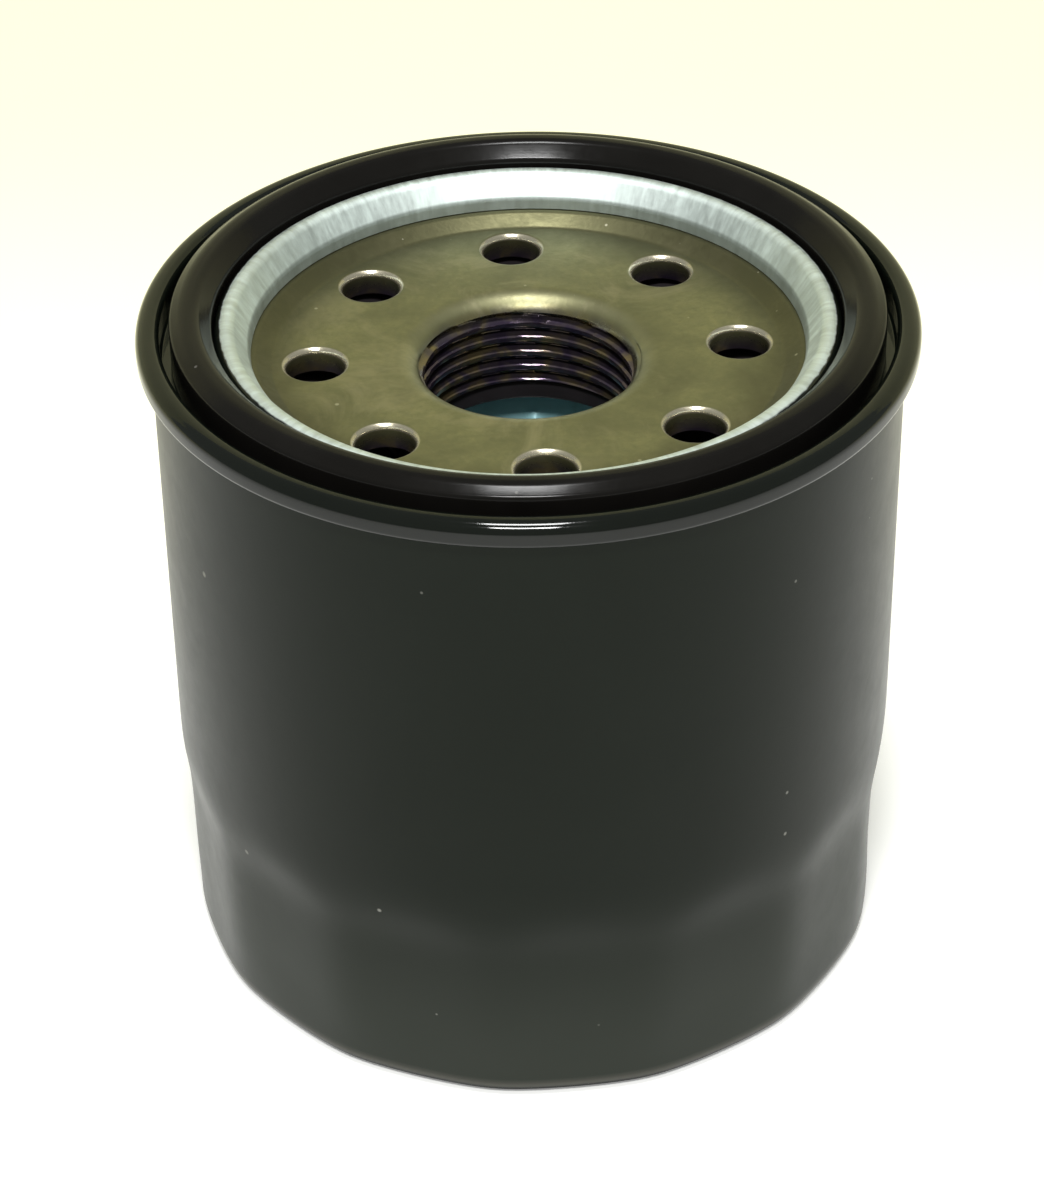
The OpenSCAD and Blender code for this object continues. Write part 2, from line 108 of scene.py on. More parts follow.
class FilterSizes(bpy.types.PropertyGroup):
    """Lengths and counts that the frame's boxes don't give."""
    can_r: length("Can Radius", "Outer radius of the straight wall", 33)
    can_t: length("Can Sheet", "Thickness of the can's sheet", 0.4)
    base_r: length("Base Corner", "Corner radius between wall and base", 1.5)
    panel_r: length("Base Panel", "Radius of the raised centre panel", 24)
    panel_rise: length("Panel Rise", "Rise of the centre panel", 1)
    flats: IntProperty(name="Flats", description="Number of wrench flats", default=14, min=3)
    flat_r: length("Flat Radius", "Distance of a flat's upper edge from the axis", 32.1)
    flats_z: length("Flats Height", "Height of the flats' upper edge", 17.8)
    draft: FloatProperty(name="Flat Draft", description="Lean of the flats",
                         default=math.radians(0.6), subtype="ANGLE")
    shoulder: FloatProperty(name="Shoulder", description="Slope above the flats, from the wall",
                            default=math.radians(35), subtype="ANGLE")
    flats_turn: FloatProperty(name="Flats Turn", description="Turn of the first ridge",
                              default=math.radians(4.93), subtype="ANGLE")
    seam_h: length("Seam Height", "Height of the rolled seam", 2.3)
    lid_t: length("Lid Sheet", "Thickness of the lid's sheet", 0.42)
    lip_w: length("Lip Width", "Width of the lip at its foot", 3.1)
    gasket_w: length("Gasket Width", "Radial width of the gasket", 3.75)
    land_w: length("Gasket Land", "Width of the flat sealing land", 1.2)
    plate_t: length("Plate Thickness", "Thickness of the tapping plate", 2.4)
    dish: length("Plate Dish", "Depth of the dish in the plate", 1)
    thread_r: length("Thread Radius", "Minor radius of the thread", 9.188)
    thread_pitch: length("Thread Pitch", "Pitch of the thread", 1.5)
    collar_w: length("Collar Wall", "Wall of the threaded collar", 2.1)
    entry_r: length("Entry Radius", "Radius of the entry into the collar", 2.5)
    holes: IntProperty(name="Inlet Holes", description="Number of inlet holes", default=8, min=3)
    hole_r: length("Hole Radius", "Radius of an inlet hole", 2.6)
    hole_circle_r: length("Hole Circle", "Radius of the inlet holes' circle", 18.722)
    holes_turn: FloatProperty(name="Holes Turn", description="Turn of the first inlet hole",
                              default=math.radians(3.2), subtype="ANGLE")
    cap_t: length("Cap Sheet", "Thickness of the end caps' sheet", 0.4)
    pleats: IntProperty(name="Pleats", description="Number of pleats", default=48, min=8)


class FilterColours(bpy.types.PropertyGroup):
    """Colours that a user would change."""
    enamel: colour("Enamel", "Black paint of the can and seam", (0.0026, 0.0036, 0.0025))
    zinc: colour("Zinc", "Bare zinc of the lip", (0.82, 0.91, 0.88))
    chromate: colour("Chromate", "Yellow zinc of the tapping plate", (0.243, 0.232, 0.117))
    gasket: colour("Gasket", "Nitrile rubber of the gasket", (0.0045, 0.004, 0.0035))
    valve: colour("Valve Rubber", "Rubber of the anti-drain valve", (0.013, 0.011, 0.012))
    blue_zinc: colour("Blue Zinc", "Blue zinc of the element's caps", (0.40, 0.72, 0.76))
    paper: colour("Filter Paper", "Resin-treated paper", (0.62, 0.43, 0.20))
    plastisol: colour("Plastisol", "Adhesive in the end caps", (0.48, 0.10, 0.06))
    steel: colour("Steel", "Bare steel of springs and valve parts", (0.50, 0.51, 0.52))
    floor: colour("Floor", "Floor and surroundings", (0.93, 0.93, 0.91))


class FilterSettings(bpy.types.PropertyGroup):
    """All settings of the filter."""
    sizes: PointerProperty(type=FilterSizes)
    colours: PointerProperty(type=FilterColours)


def sizes():
    """Every size in millimetres (angles in radians), with those that follow from others."""
    given = bpy.context.scene.oil_filter.sizes
    s = SimpleNamespace(**{
        key: getattr(given, key) / MM if prop.unit == "LENGTH" else getattr(given, key)
        for key, prop in given.bl_rna.properties.items()
        if prop.type in ("FLOAT", "INT") and key != "rna_type"
    })
    s.shell_h = cad("seaming_lid")[1][2]
    s.seam_ro = cad("seaming_lid")[1][0]
    s.gasket_ro = cad("gasket")[1][0]
    s.gasket_top = cad("gasket")[1][2]
    s.channel_z = cad("gasket")[0][2]
    s.plate_r = cad("tapping_plate")[1][0]
    s.plate_top = cad("tapping_plate")[1][2]
    s.collar_end = cad("tapping_plate")[0][2]
    s.gasket_ri = s.gasket_ro - s.gasket_w
    s.lip_ro = s.gasket_ri - 0.1
    s.lip_ri = s.lip_ro - s.lip_w
    s.dish_ro = s.lip_ri - 0.3
    s.dish_ri = s.dish_ro - 1.6
    s.dish_top = s.plate_top - s.dish
    s.dish_under = s.dish_top - s.plate_t
    s.collar_ro = s.thread_r + s.collar_w
    s.cap_top, s.cap_ro = cad("top_end_cap")[1][2], cad("top_end_cap")[1][0]
    s.cap_ri = s.collar_ro + 1.4
    return s


# ---------------------------------------------------------------- shapes

def unit(v):
    """Vectors of length one along the last axis."""
    return v / np.maximum(np.linalg.norm(v, axis=-1, keepdims=True), 1e-12)


def eased(share):
    """A share held between 0 and 1 that starts and ends softly: 3 x^2 - 2 x^3."""
    share = np.clip(share, 0, 1)
    return share * share * (3 - 2 * share)


def rounded(points, steps=8, closed=True):
    """An outline whose corners (radius, height, fillet) are rounded. A fillet's centre lies on the
    corner's bisector at fillet / sin(half angle), and its arc is swept from side to side."""
    points = [tuple(p) + (0,) * (3 - len(p)) for p in points]
    data = np.array(points, float)
    p, fillet = data[:, :2], data[:, 2:3]
    before, after = unit(np.roll(p, 1, 0) - p), unit(np.roll(p, -1, 0) - p)
    if not closed:
        fillet = fillet.copy()
        fillet[[0, -1]] = 0
    half = np.arccos(np.clip((before * after).sum(1, keepdims=True), -1, 1)) / 2
    bend = np.where(half > math.pi / 2 - 1e-4, 0, fillet)
    centre = p + unit(before + after) * bend / np.maximum(np.sin(half), 1e-6)
    run = bend / np.maximum(np.tan(half), 1e-6)
    start, end = p + before * run - centre, p + after * run - centre
    a0 = np.arctan2(start[:, 1], start[:, 0])
    sweep = (np.arctan2(end[:, 1], end[:, 0]) - a0 + math.pi) % TURN - math.pi
    t = np.linspace(0, 1, steps + 1)
    angle = a0[:, None] + sweep[:, None] * t
    arc = centre[:, None] + bend[:, :, None] * np.stack([np.cos(angle), np.sin(angle)], -1)
    line = arc.reshape(-1, 2)
    step = np.linalg.norm(line - np.roll(line, 1, 0), axis=1)
    keep = step > 1e-5
    if not closed:
        keep[0] = True
    return line[keep]


def refined(line, pitch, closed=True):
    """The same line with every stretch longer than pitch cut into equal parts."""
    following = np.roll(line, -1, 0) if closed else line[1:]
    here = line[:len(following)]
    count = np.maximum(np.ceil(np.linalg.norm(following - here, axis=1) / pitch), 1).astype(int)
    index = np.repeat(np.arange(len(here)), count)
    part = (np.arange(count.sum()) - np.repeat(np.cumsum(count) - count, count)) / count[index]
    out = here[index] + (following - here)[index] * part[:, None]
    return out if closed else np.concatenate([out, line[-1:]])


def sheet(line, thickness):
    """A closed outline round a mid-line: each side lies half the thickness off, on the mitre."""
    forward = unit(np.diff(line, axis=0))
    a = np.concatenate([forward[:1], forward])
    b = np.concatenate([forward, forward[-1:]])
    normal = np.stack([-a[:, 1], a[:, 0]], 1)
    mitre = unit(normal + np.stack([-b[:, 1], b[:, 0]], 1))
    mitre = mitre / (mitre * normal).sum(1, keepdims=True)
    return np.concatenate([line + mitre * thickness / 2, (line - mitre * thickness / 2)[::-1]])


def grid_faces(rows, columns, wrap_rows, wrap_columns):
    """Quads between the neighbours of a grid of rows by columns, joined round where it wraps."""
    i = np.arange(rows if wrap_rows else rows - 1)[:, None]
    j = np.arange(columns if wrap_columns else columns - 1)[None]
    i2, j2 = (i + 1) % rows, (j + 1) % columns
    quads = np.stack(np.broadcast_arrays(
        i * columns + j, i * columns + j2, i2 * columns + j2, i2 * columns + j), -1)
    return quads.reshape(-1, 4)


def make_object(name, points, faces, smooth_angle=30, merge=1e-4):
    """A mesh object from arrays in millimetres: doubles merged, poles closed, normals outward,
    shaded smooth except across edges sharper than smooth_angle degrees."""
    mesh = bpy.data.meshes.new(name)
    mesh.from_pydata((np.asarray(points) * MM).tolist(), [], np.asarray(faces).tolist())
    obj = bpy.data.objects.new(name, mesh)
    bpy.context.scene.collection.objects.link(obj)
    bm = bmesh.new()
    bm.from_mesh(mesh)
    bmesh.ops.remove_doubles(bm, verts=bm.verts, dist=merge * MM)
    bmesh.ops.dissolve_degenerate(bm, edges=bm.edges, dist=merge * MM)
    bmesh.ops.recalc_face_normals(bm, faces=bm.faces)
    if bm.calc_volume(signed=True) < 0:
        bmesh.ops.reverse_faces(bm, faces=bm.faces)
    limit = math.radians(smooth_angle)
    for edge in bm.edges:
        if len(edge.link_faces) == 2:
            edge.smooth = edge.calc_face_angle(0) < limit
    bm.to_mesh(mesh)
    bm.free()
    mesh.polygons.foreach_set("use_smooth", np.ones(len(mesh.polygons), bool))
    mesh.update()
    return obj


def revolve(outline, columns, closed=True, radius=None):
    """Points and faces of an outline turned about Z: x = r cos a, y = r sin a. radius(r, z, a) may
    change the radius over the grid."""
    angle = np.arange(columns) * TURN / columns
    r, z = (np.repeat(part, columns, 1) for part in (outline[:, :1], outline[:, 1:2]))
    if radius is not None:
        r = radius(r, z, angle[None])
    points = np.stack([r * np.cos(angle), r * np.sin(angle), z], -1).reshape(-1, 3)
    return points, grid_faces(len(outline), columns, closed, True)


def turned(name, outline, columns=256, smooth_angle=30, radius=None):
    """A solid of revolution with a closed outline."""
    points, faces = revolve(outline, columns, True, radius)
    return make_object(name, points, faces, smooth_angle)


def swept_wire(name, path, radius, sides=16):
    """A round wire carried along a path: each ring is radius * (cos t * out + sin t * across),
    where out is the path's sideways direction off the axis and across is at right angles to both.
    Each end closes in a flat cap with a small chamfer."""
    along = unit(np.gradient(path, axis=0))
    across = unit(np.cross(along, unit(path * (1, 1, 0))))
    out = np.cross(across, along)
    t = np.arange(sides) * TURN / sides
    chamfer, crease = 0.12 * radius, 50
    rings = np.concatenate([[radius - chamfer], np.full(len(path), radius), [radius - chamfer]])
    path = np.concatenate([path[:1], path[:1] + along[:1] * chamfer, path[1:-1],
                           path[-1:] - along[-1:] * chamfer, path[-1:]])
    out, across = (np.concatenate([side[:1], side, side[-1:]]) for side in (out, across))
    points = path[:, None] + rings[:, None, None] * (
        np.cos(t)[:, None] * out[:, None] + np.sin(t)[:, None] * across[:, None])
    faces = grid_faces(len(path), sides, False, True).tolist()
    last = (len(path) - 1) * sides
    faces += [list(range(sides))[::-1], list(range(last, last + sides))]
    return make_object(name, points.reshape(-1, 3), np.array(faces, dtype=object), crease)


def coil_path(r0, r1, low, high, wire, turns, steps):
    """The middle line of a coil: the angle grows evenly, the radius runs from r0 to r1, and the
    height rises only between the end turns, which lie flat but for one wire's creep."""
    s = np.linspace(0, 1, int(math.ceil(turns * steps)) + 1)
    flat_turn, gap = 0.75, 1.02
    share = flat_turn / turns
    lie = wire * gap * flat_turn
    creep = lie * (np.minimum(s, share) + np.maximum(0, s - 1 + share)) / share
    rise = np.clip((s - share) / (1 - 2 * share), 0, 1)
    low, high = low + wire / 2, high - wire / 2
    z = low + creep + (high - low - 2 * lie) * (rise + eased(rise)) / 2
    a, r = TURN * turns * s, r0 + (r1 - r0) * s
    return np.stack([r * np.cos(a), r * np.sin(a), z], 1)


# ---------------------------------------------------------------- shader helpers

def shade(base, share, lift=0.0):
    """A colour whose every channel is a share of another's, with a lift."""
    return tuple(share * channel + lift for channel in base)


def fill(tree, node, values):
    """Inputs by name or number, each linked to an output or set to a value."""
    for key, value in values.items():
        if isinstance(value, bpy.types.NodeSocket):
            tree.links.new(value, node.inputs[key])
        else:
            node.inputs[key].default_value = value


def put(tree, kind, values=None, **settings):
    """A node of a kind, with its settings and its inputs."""
    node = tree.nodes.new("ShaderNode" + kind)
    for key, value in settings.items():
        setattr(node, key, value)
    fill(tree, node, values or {})
    return node


def calc(tree, operation, *values, clamp=False):
    """The result of a Math node."""
    return put(tree, "Math", dict(enumerate(values)), operation=operation,
               use_clamp=clamp).outputs[0]


def times(tree, first, second):
    """A product."""
    return calc(tree, "MULTIPLY", first, second)


def remap(tree, value, low, high, to_low=0.0, to_high=1.0, smooth=False):
    """A value carried from one range to another, and held there."""
    kind = "SMOOTHSTEP" if smooth else "LINEAR"
    return put(tree, "MapRange", {0: value, 1: low, 2: high, 3: to_low, 4: to_high},
               interpolation_type=kind).outputs[0]


def tint(tree, factor, first, second):
    """Two colours mixed by a factor."""
    values = {0: factor}
    for key, value in ((6, first), (7, second)):
        is_plain = not isinstance(value, bpy.types.NodeSocket)
        values[key] = (*value, 1) if is_plain and len(value) == 3 else value
    return put(tree, "Mix", values, data_type="RGBA").outputs[2]


def noise(tree, vector, scale, detail=3.0, rough=0.55, distort=0.0):
    """The height of a noise pattern, about 0.5."""
    return put(tree, "TexNoise", {"Vector": vector, "Scale": scale, "Detail": detail,
                                  "Roughness": rough, "Distortion": distort}).outputs[0]


def new_group(name, inputs, outputs):
    """A node group with named sockets: inputs are (name, kind, default), outputs (name, kind)."""
    group = bpy.data.node_groups.new(name, "ShaderNodeTree")
    for label, kind, default in inputs:
        made = group.interface.new_socket(label, in_out="INPUT", socket_type="NodeSocket" + kind)
        if default is not None:
            made.default_value = default
    for label, kind in outputs:
        group.interface.new_socket(label, in_out="OUTPUT", socket_type="NodeSocket" + kind)
    entry, end = (group.nodes.new("NodeGroup" + kind) for kind in ("Input", "Output"))
    return group, entry.outputs, end.inputs


def use(tree, group, **values):
    """A group placed in a tree, with its own values. Gives its outputs."""
    return put(tree, "Group", values, node_tree=bpy.data.node_groups[group]).outputs


def build_groups():
    """The effects that several finishes share."""
    # Place round the axis: radius and height in metres, and the direction as a unit vector
    g, i, o = new_group("Round The Axis", [("Position", "Vector", None)],
                        [("Radius", "Float"), ("Height", "Float"), ("Direction", "Vector")])
    split = put(g, "SeparateXYZ", {0: i["Position"]}).outputs
    flat = put(g, "CombineXYZ", {0: split[0], 1: split[1]}).outputs[0]
    g.links.new(put(g, "VectorMath", {0: flat}, operation="LENGTH").outputs["Value"], o["Radius"])
    g.links.new(split[2], o["Height"])
    g.links.new(put(g, "VectorMath", {0: flat}, operation="NORMALIZE").outputs[0], o["Direction"])

    # Drawing marks: fine streaks that run along the metal's draw, changing only round the axis
    g, i, o = new_group("Drawing Marks", [("Position", "Vector", None), ("Count", "Float", 60.0),
                                          ("Breaks", "Float", 300.0)], [("Mask", "Float")])
    place = use(g, "Round The Axis", Position=i["Position"])
    around = put(g, "VectorMath", {0: place["Direction"], "Scale": i["Count"]},
                 operation="SCALE").outputs[0]
    along = times(g, calc(g, "ADD", place["Radius"], place["Height"]), i["Breaks"])
    lift = put(g, "CombineXYZ", {2: along}).outputs[0]
    vector = put(g, "VectorMath", {0: around, 1: lift}, operation="ADD").outputs[0]
    g.links.new(noise(g, vector, 1.0, 4.0, 0.65), o["Mask"])

    # Turning marks: rings that change with radius and height and hardly round the axis
    g, i, o = new_group("Turning Marks", [("Position", "Vector", None), ("Pitch", "Float", 4000.0)],
                        [("Mask", "Float")])
    place = use(g, "Round The Axis", Position=i["Position"])
    reach = times(g, place["Radius"], i["Pitch"])
    climb = times(g, place["Height"], i["Pitch"])
    ring = put(g, "CombineXYZ", {0: reach, 1: climb}).outputs[0]
    vector = put(g, "VectorMath", {0: ring, 1: place["Direction"]}, operation="ADD").outputs[0]
    g.links.new(noise(g, vector, 1.0, 3.0, 0.6), o["Mask"])

    # Mottle: broad clouds broken by a finer pattern
    g, i, o = new_group("Mottle", [("Position", "Vector", None), ("Scale", "Float", 120.0)],
                        [("Broad", "Float"), ("Fine", "Float")])
    broad = noise(g, i["Position"], i["Scale"], 3.0, 0.6, 0.4)
    fine = noise(g, i["Position"], times(g, i["Scale"], 9.0), 4.0, 0.65, 0.2)
    g.links.new(remap(g, broad, 0.3, 0.7), o["Broad"])
    g.links.new(remap(g, fine, 0.25, 0.75), o["Fine"])

    # Dust: a few small specks, each the middle of a cell that chance picks
    g, i, o = new_group("Dust", [("Position", "Vector", None), ("Scale", "Float", 500.0),
                                 ("Size", "Float", 0.12), ("Share", "Float", 0.05)],
                        [("Mask", "Float")])
    cells = put(g, "TexVoronoi", {"Vector": i["Position"], "Scale": i["Scale"]}).outputs
    chance = put(g, "SeparateColor", {0: cells["Color"]}).outputs
    picked = calc(g, "LESS_THAN", chance[0], i["Share"])
    size = times(g, i["Size"], calc(g, "ADD", chance[1], 0.3))
    near = calc(g, "SUBTRACT", 1.0, calc(g, "DIVIDE", cells["Distance"], size), clamp=True)
    spot = times(g, picked, calc(g, "POWER", near, 0.5))
    g.links.new(spot, o["Mask"])

    # Skin: the small unevenness of paint, rubber or plating, as a height
    g, i, o = new_group("Skin", [("Position", "Vector", None), ("Scale", "Float", 900.0)],
                        [("Height", "Float")])
    low = noise(g, i["Position"], i["Scale"], 2.0, 0.5)
    high = noise(g, i["Position"], times(g, i["Scale"], 5.0), 2.0, 0.5)
    g.links.new(calc(g, "MULTIPLY_ADD", high, 0.35, low), o["Height"])


def start_material(name):
    """A new material with its tree, its Principled BSDF and its Object coordinates."""
    made = bpy.data.materials.new(name)
    made.use_nodes = True
    tree = made.node_tree
    place = tree.nodes.new("ShaderNodeTexCoord").outputs["Object"]
    return made, tree, tree.nodes["Principled BSDF"], place


def connect(tree, shader, **links):
    """Links values to the shader's sockets: keys are socket names with _ for a space."""
    fill(tree, shader, {key.replace("_", " "): value for key, value in links.items()})


def bump(tree, height, strength, depth):
    """A normal from a height that is up to depth millimetres."""
    return put(tree, "Bump", {"Height": height, "Strength": strength,
                              "Distance": depth * MM}).outputs[0]


def enamel_colour(tree, place, base, low):
    """Baked black enamel: its colour with faint clouds and dust, its roughness from low up, and its
    height."""
    dust_grey, spread, dust_dull = (0.45, 0.44, 0.40), 0.05, 0.3
    cloud = use(tree, "Mottle", Position=place, Scale=55.0)
    dust = use(tree, "Dust", Position=place, Scale=420.0, Size=0.11, Share=0.06)
    tone = tint(tree, times(tree, cloud["Broad"], 0.5), base, shade(base, 1.5, 0.0010))
    tone = tint(tree, times(tree, dust["Mask"], 0.55), tone, dust_grey)
    rough = remap(tree, cloud["Broad"], 0.0, 1.0, low, low + spread)
    rough = calc(tree, "MULTIPLY_ADD", cloud["Fine"], spread, rough)
    rough = calc(tree, "MULTIPLY_ADD", dust["Mask"], dust_dull, rough, clamp=True)
    height = use(tree, "Skin", Position=place, Scale=1100.0)["Height"]
    return tone, rough, height


def zinc_colour(tree, place, base, dull):
    """Bright zinc drawn over a die: streaks along the draw, small stains and a grey film."""
    marks = use(tree, "Drawing Marks", Position=place, Count=42.0, Breaks=260.0)["Mask"]
    cloud = use(tree, "Mottle", Position=place, Scale=160.0)
    tone = tint(tree, remap(tree, marks, 0.35, 0.65), shade(base, 0.80), base)
    tone = tint(tree, times(tree, cloud["Broad"], dull), tone, shade(base, 0.55))
    smooth, scored, stained = 0.46, 0.58, 0.10
    rough = calc(tree, "MULTIPLY_ADD", cloud["Fine"], stained,
                 remap(tree, marks, 0.3, 0.7, smooth, scored))
    return tone, rough, marks


def finish_enamel(c, s):
    """Black enamel on the can."""
    made, tree, shader, place = start_material("black enamel")
    floor_reflection_grey, rim_reflection_grey, sheen, gloss = (0.048, 0.053, 0.044), (0.075, 0.072, 0.062), 0.14, 0.27
    tone, rough, height = enamel_colour(tree, place, tuple(c.enamel), gloss)
    at = use(tree, "Round The Axis", Position=place)

    def band(from_mm, to_mm, bottom=0.0, top=1.0, smooth=False):
        return remap(tree, at["Height"], from_mm * MM, to_mm * MM, bottom, top, smooth)

    # a faint grey lightening, stronger towards the foot: painted reflection of the bright floor
    floor_reflection = times(tree, band(1.2, 1.8), band(2, 26, 0.42, 0.0, smooth=True))
    tone = tint(tree, floor_reflection, tone, floor_reflection_grey)
    # the top of the base's corner is painted a thin grey line: painted reflection of the bright
    # floor
    corner_r = s.flat_r - s.base_r - 0.3
    corner = remap(tree, at["Radius"], corner_r * MM, (corner_r + 0.5) * MM)
    rim_reflection = times(tree, band(0.8, 1.1), band(1.3, 1.9, 0.8, 0.0))
    tone = tint(tree, times(tree, rim_reflection, corner), tone, rim_reflection_grey)
    # and under it the reflection is taken away so the band reads dark: painted shadow of the
    # contact gap under the corner
    dull = times(tree, corner, band(0.6, 1.0, 1.0, 0.0))
    shine = calc(tree, "MULTIPLY_ADD", dull, -sheen, sheen)
    connect(tree, shader, Base_Color=tone, Roughness=rough, Metallic=0.0,
            Specular_IOR_Level=shine, Specular_Tint=(0.90, 1.0, 0.86, 1), IOR=1.5,
            Normal=bump(tree, height, 0.10, 0.04))
    return made


def finish_lid(c, s):
    """The lid: bare zinc inside the lip's crest, black enamel outside it, with a soft, slightly
    ragged line between the two."""
    made, tree, shader, place = start_material("enamel over zinc")
    foot_shade_grey, gloss, dull = (0.20, 0.23, 0.21), 0.035, 0.45
    dark, dark_rough, height = enamel_colour(tree, place, tuple(c.enamel), gloss)
    bright, bright_rough, marks = zinc_colour(tree, place, tuple(c.zinc), dull)
    at = use(tree, "Round The Axis", Position=place)
    wander, edge = 0.3 * MM, (s.lip_ro - 0.42) * MM
    ragged = calc(tree, "MULTIPLY_ADD", noise(tree, place, 900.0, 3.0, 0.6), wander, at["Radius"])
    paint = remap(tree, ragged, edge - 0.08 * MM, edge + 0.12 * MM, smooth=True)
    # the lip's foot below its step is painted greyer: painted shade of its lower tier
    step_z = s.plate_top + 1.15
    step = remap(tree, at["Height"], step_z * MM, (step_z + 0.2) * MM, 0.5, 0.0)
    bright = tint(tree, step, bright, foot_shade_grey)
    tone = tint(tree, paint, bright, dark)
    mirror = calc(tree, "SUBTRACT", 1.0, paint)
    rough_gap = calc(tree, "SUBTRACT", dark_rough, bright_rough)
    rough = calc(tree, "MULTIPLY_ADD", rough_gap, paint, bright_rough)
    relief = calc(tree, "MULTIPLY_ADD", marks, 0.5, height)
    connect(tree, shader, Base_Color=tone, Roughness=rough, Metallic=mirror,
            Specular_IOR_Level=0.32, IOR=1.5, Normal=bump(tree, relief, 0.10, 0.03))
    return made


def finish_chromate(c, s):
    """Yellow zinc: mottled olive and khaki, with painted shade darker towards the rim, a painted
    highlight round the bore's entry, thin violet and brown films down the thread, and smoother hole
    edges with a painted highlight."""
    made, tree, shader, place = start_material("yellow zinc")
    base = tuple(c.chromate)
    red, green, blue = base
    pale, speck, edge_highlight_tone = (0.72, 0.69, 0.46), (0.75, 0.72, 0.55), (0.62, 0.56, 0.44)
    violet, plum, bronze = (0.055, 0.035, 0.085), (0.10, 0.075, 0.10), (0.20, 0.15, 0.08)
    at = use(tree, "Round The Axis", Position=place)
    cloud = use(tree, "Mottle", Position=place, Scale=150.0)

    def along(place_name, from_mm, to_mm, start=0.0, end=1.0, smooth=False):
        return remap(tree, at[place_name], from_mm * MM, to_mm * MM, start, end, smooth)

    tone = tint(tree, cloud["Broad"], shade(base, 0.56), shade(base, 1.08))
    tone = tint(tree, times(tree, cloud["Fine"], 0.6), tone,
                (red * 0.60, green * 0.66, blue * 0.62))
    smear = remap(tree, noise(tree, place, 75.0, 5.0, 0.7, 1.5), 0.50, 0.66)
    tone = tint(tree, times(tree, smear, 0.55), tone, (red * 1.35, green * 1.3, blue * 1.5))
    # painted shade: darker towards the rim, where the plate meets the lip
    tone = tint(tree, along("Radius", s.dish_ri - 5, s.dish_ro, 0.0, 0.85, smooth=True), tone,
                shade(base, 0.32))
    # painted highlight: pale round the bore's entry
    mouth = along("Radius", s.thread_r + 0.9, s.thread_r + 2.6, 1.0, 0.0, smooth=True)
    top = along("Height", s.dish_top - 1.2, s.dish_top - 0.2, smooth=True)
    tone = tint(tree, times(tree, times(tree, mouth, top), 0.12), tone, pale)
    # violet and brown where the plating runs thin, down in the bore
    deep = along("Height", s.dish_top - 2.2, s.dish_top - 0.6, 1.0, 0.0)
    film = put(tree, "ValToRGB", {0: noise(tree, place, 420.0, 2.0, 0.5, 0.6)})
    stops = film.color_ramp.elements
    stops.new(0.5)
    for stop, position, hue in zip(stops, (0.36, 0.5, 0.64), (violet, plum, bronze)):
        stop.position, stop.color = position, (*hue, 1)
    tone = tint(tree, times(tree, deep, 0.9), tone, film.outputs[0])
    specks = use(tree, "Dust", Position=place, Scale=900.0, Size=0.16, Share=0.05)
    tone = tint(tree, times(tree, specks["Mask"], 0.5), tone, speck)
    rough = calc(tree, "MULTIPLY_ADD", cloud["Fine"], 0.12,
                 remap(tree, cloud["Broad"], 0.0, 1.0, 0.38, 0.30))
    rough = calc(tree, "MULTIPLY_ADD", deep, -0.30, rough, clamp=True)
    # the rolled edge of each inlet hole is smoother, and painted lighter as a painted highlight
    below = along("Height", s.dish_top - 0.02, s.dish_top - 0.08)
    above = along("Height", s.dish_top - 0.60, s.dish_top - 0.40)
    outside = along("Radius", s.collar_ro + 1.2, s.collar_ro + 2.2)
    polish_and_highlight = times(tree, times(tree, below, above), outside)
    tone = tint(tree, times(tree, polish_and_highlight, 0.8), tone, edge_highlight_tone)
    rough = calc(tree, "MULTIPLY_ADD", polish_and_highlight, -0.16, rough, clamp=True)
    grit = noise(tree, place, 2600.0, 4.0, 0.7)
    height = times(tree, calc(tree, "MULTIPLY_ADD", grit, 0.6, cloud["Fine"]),
                   calc(tree, "MULTIPLY_ADD", deep, -0.85, 1.0))
    connect(tree, shader, Base_Color=tone, Roughness=rough, Metallic=0.85,
            Normal=bump(tree, height, 0.16, 0.05))
    return made


def finish_rubber(name, base, rough_low, rough_high, bloom):
    """Moulded rubber: nearly black, with a pale waxy bloom in patches, mould grain and lint."""
    made, tree, shader, place = start_material(name)
    lint_grey, mottled = (0.30, 0.29, 0.27), 0.06
    cloud = use(tree, "Mottle", Position=place, Scale=90.0)
    lint = use(tree, "Dust", Position=place, Scale=600.0, Size=0.12, Share=0.03)
    tone = tint(tree, times(tree, cloud["Broad"], bloom), base, shade(base, 3.0, 0.004))
    tone = tint(tree, times(tree, lint["Mask"], 0.35), tone, lint_grey)
    rough = remap(tree, cloud["Broad"], 0.0, 1.0, rough_low, rough_high)
    rough = calc(tree, "MULTIPLY_ADD", cloud["Fine"], mottled, rough, clamp=True)
    turning = use(tree, "Turning Marks", Position=place, Pitch=3500.0)["Mask"]
    skin = use(tree, "Skin", Position=place, Scale=1500.0)["Height"]
    height = calc(tree, "MULTIPLY_ADD", turning, 0.5, skin)
    connect(tree, shader, Base_Color=tone, Roughness=rough, Metallic=0.0,
            Specular_IOR_Level=0.14, Normal=bump(tree, height, 0.10, 0.03))
    return made


def finish_plated(name, base, rough_low=0.24, rough_high=0.42, dark=0.55, scale=140.0,
                  metallic=0.9):
    """Plated or bare sheet and wire: cloudy passivation, fine grain and small dark stains."""
    made, tree, shader, place = start_material(name)
    cloud = use(tree, "Mottle", Position=place, Scale=scale)
    stain = remap(tree, noise(tree, place, scale * 3.2, 5.0, 0.7), 0.56, 0.72)
    tone = tint(tree, cloud["Broad"], shade(base, 0.8), base)
    tone = tint(tree, times(tree, stain, 0.5), tone, shade(base, dark))
    rough = remap(tree, cloud["Broad"], 0.0, 1.0, rough_low, rough_high)
    stained = 0.12
    rough = calc(tree, "MULTIPLY_ADD", stain, stained, rough, clamp=True)
    height = use(tree, "Skin", Position=place, Scale=1800.0)["Height"]
    connect(tree, shader, Base_Color=tone, Roughness=rough, Metallic=metallic,
            Normal=bump(tree, height, 0.10, 0.03))
    return made


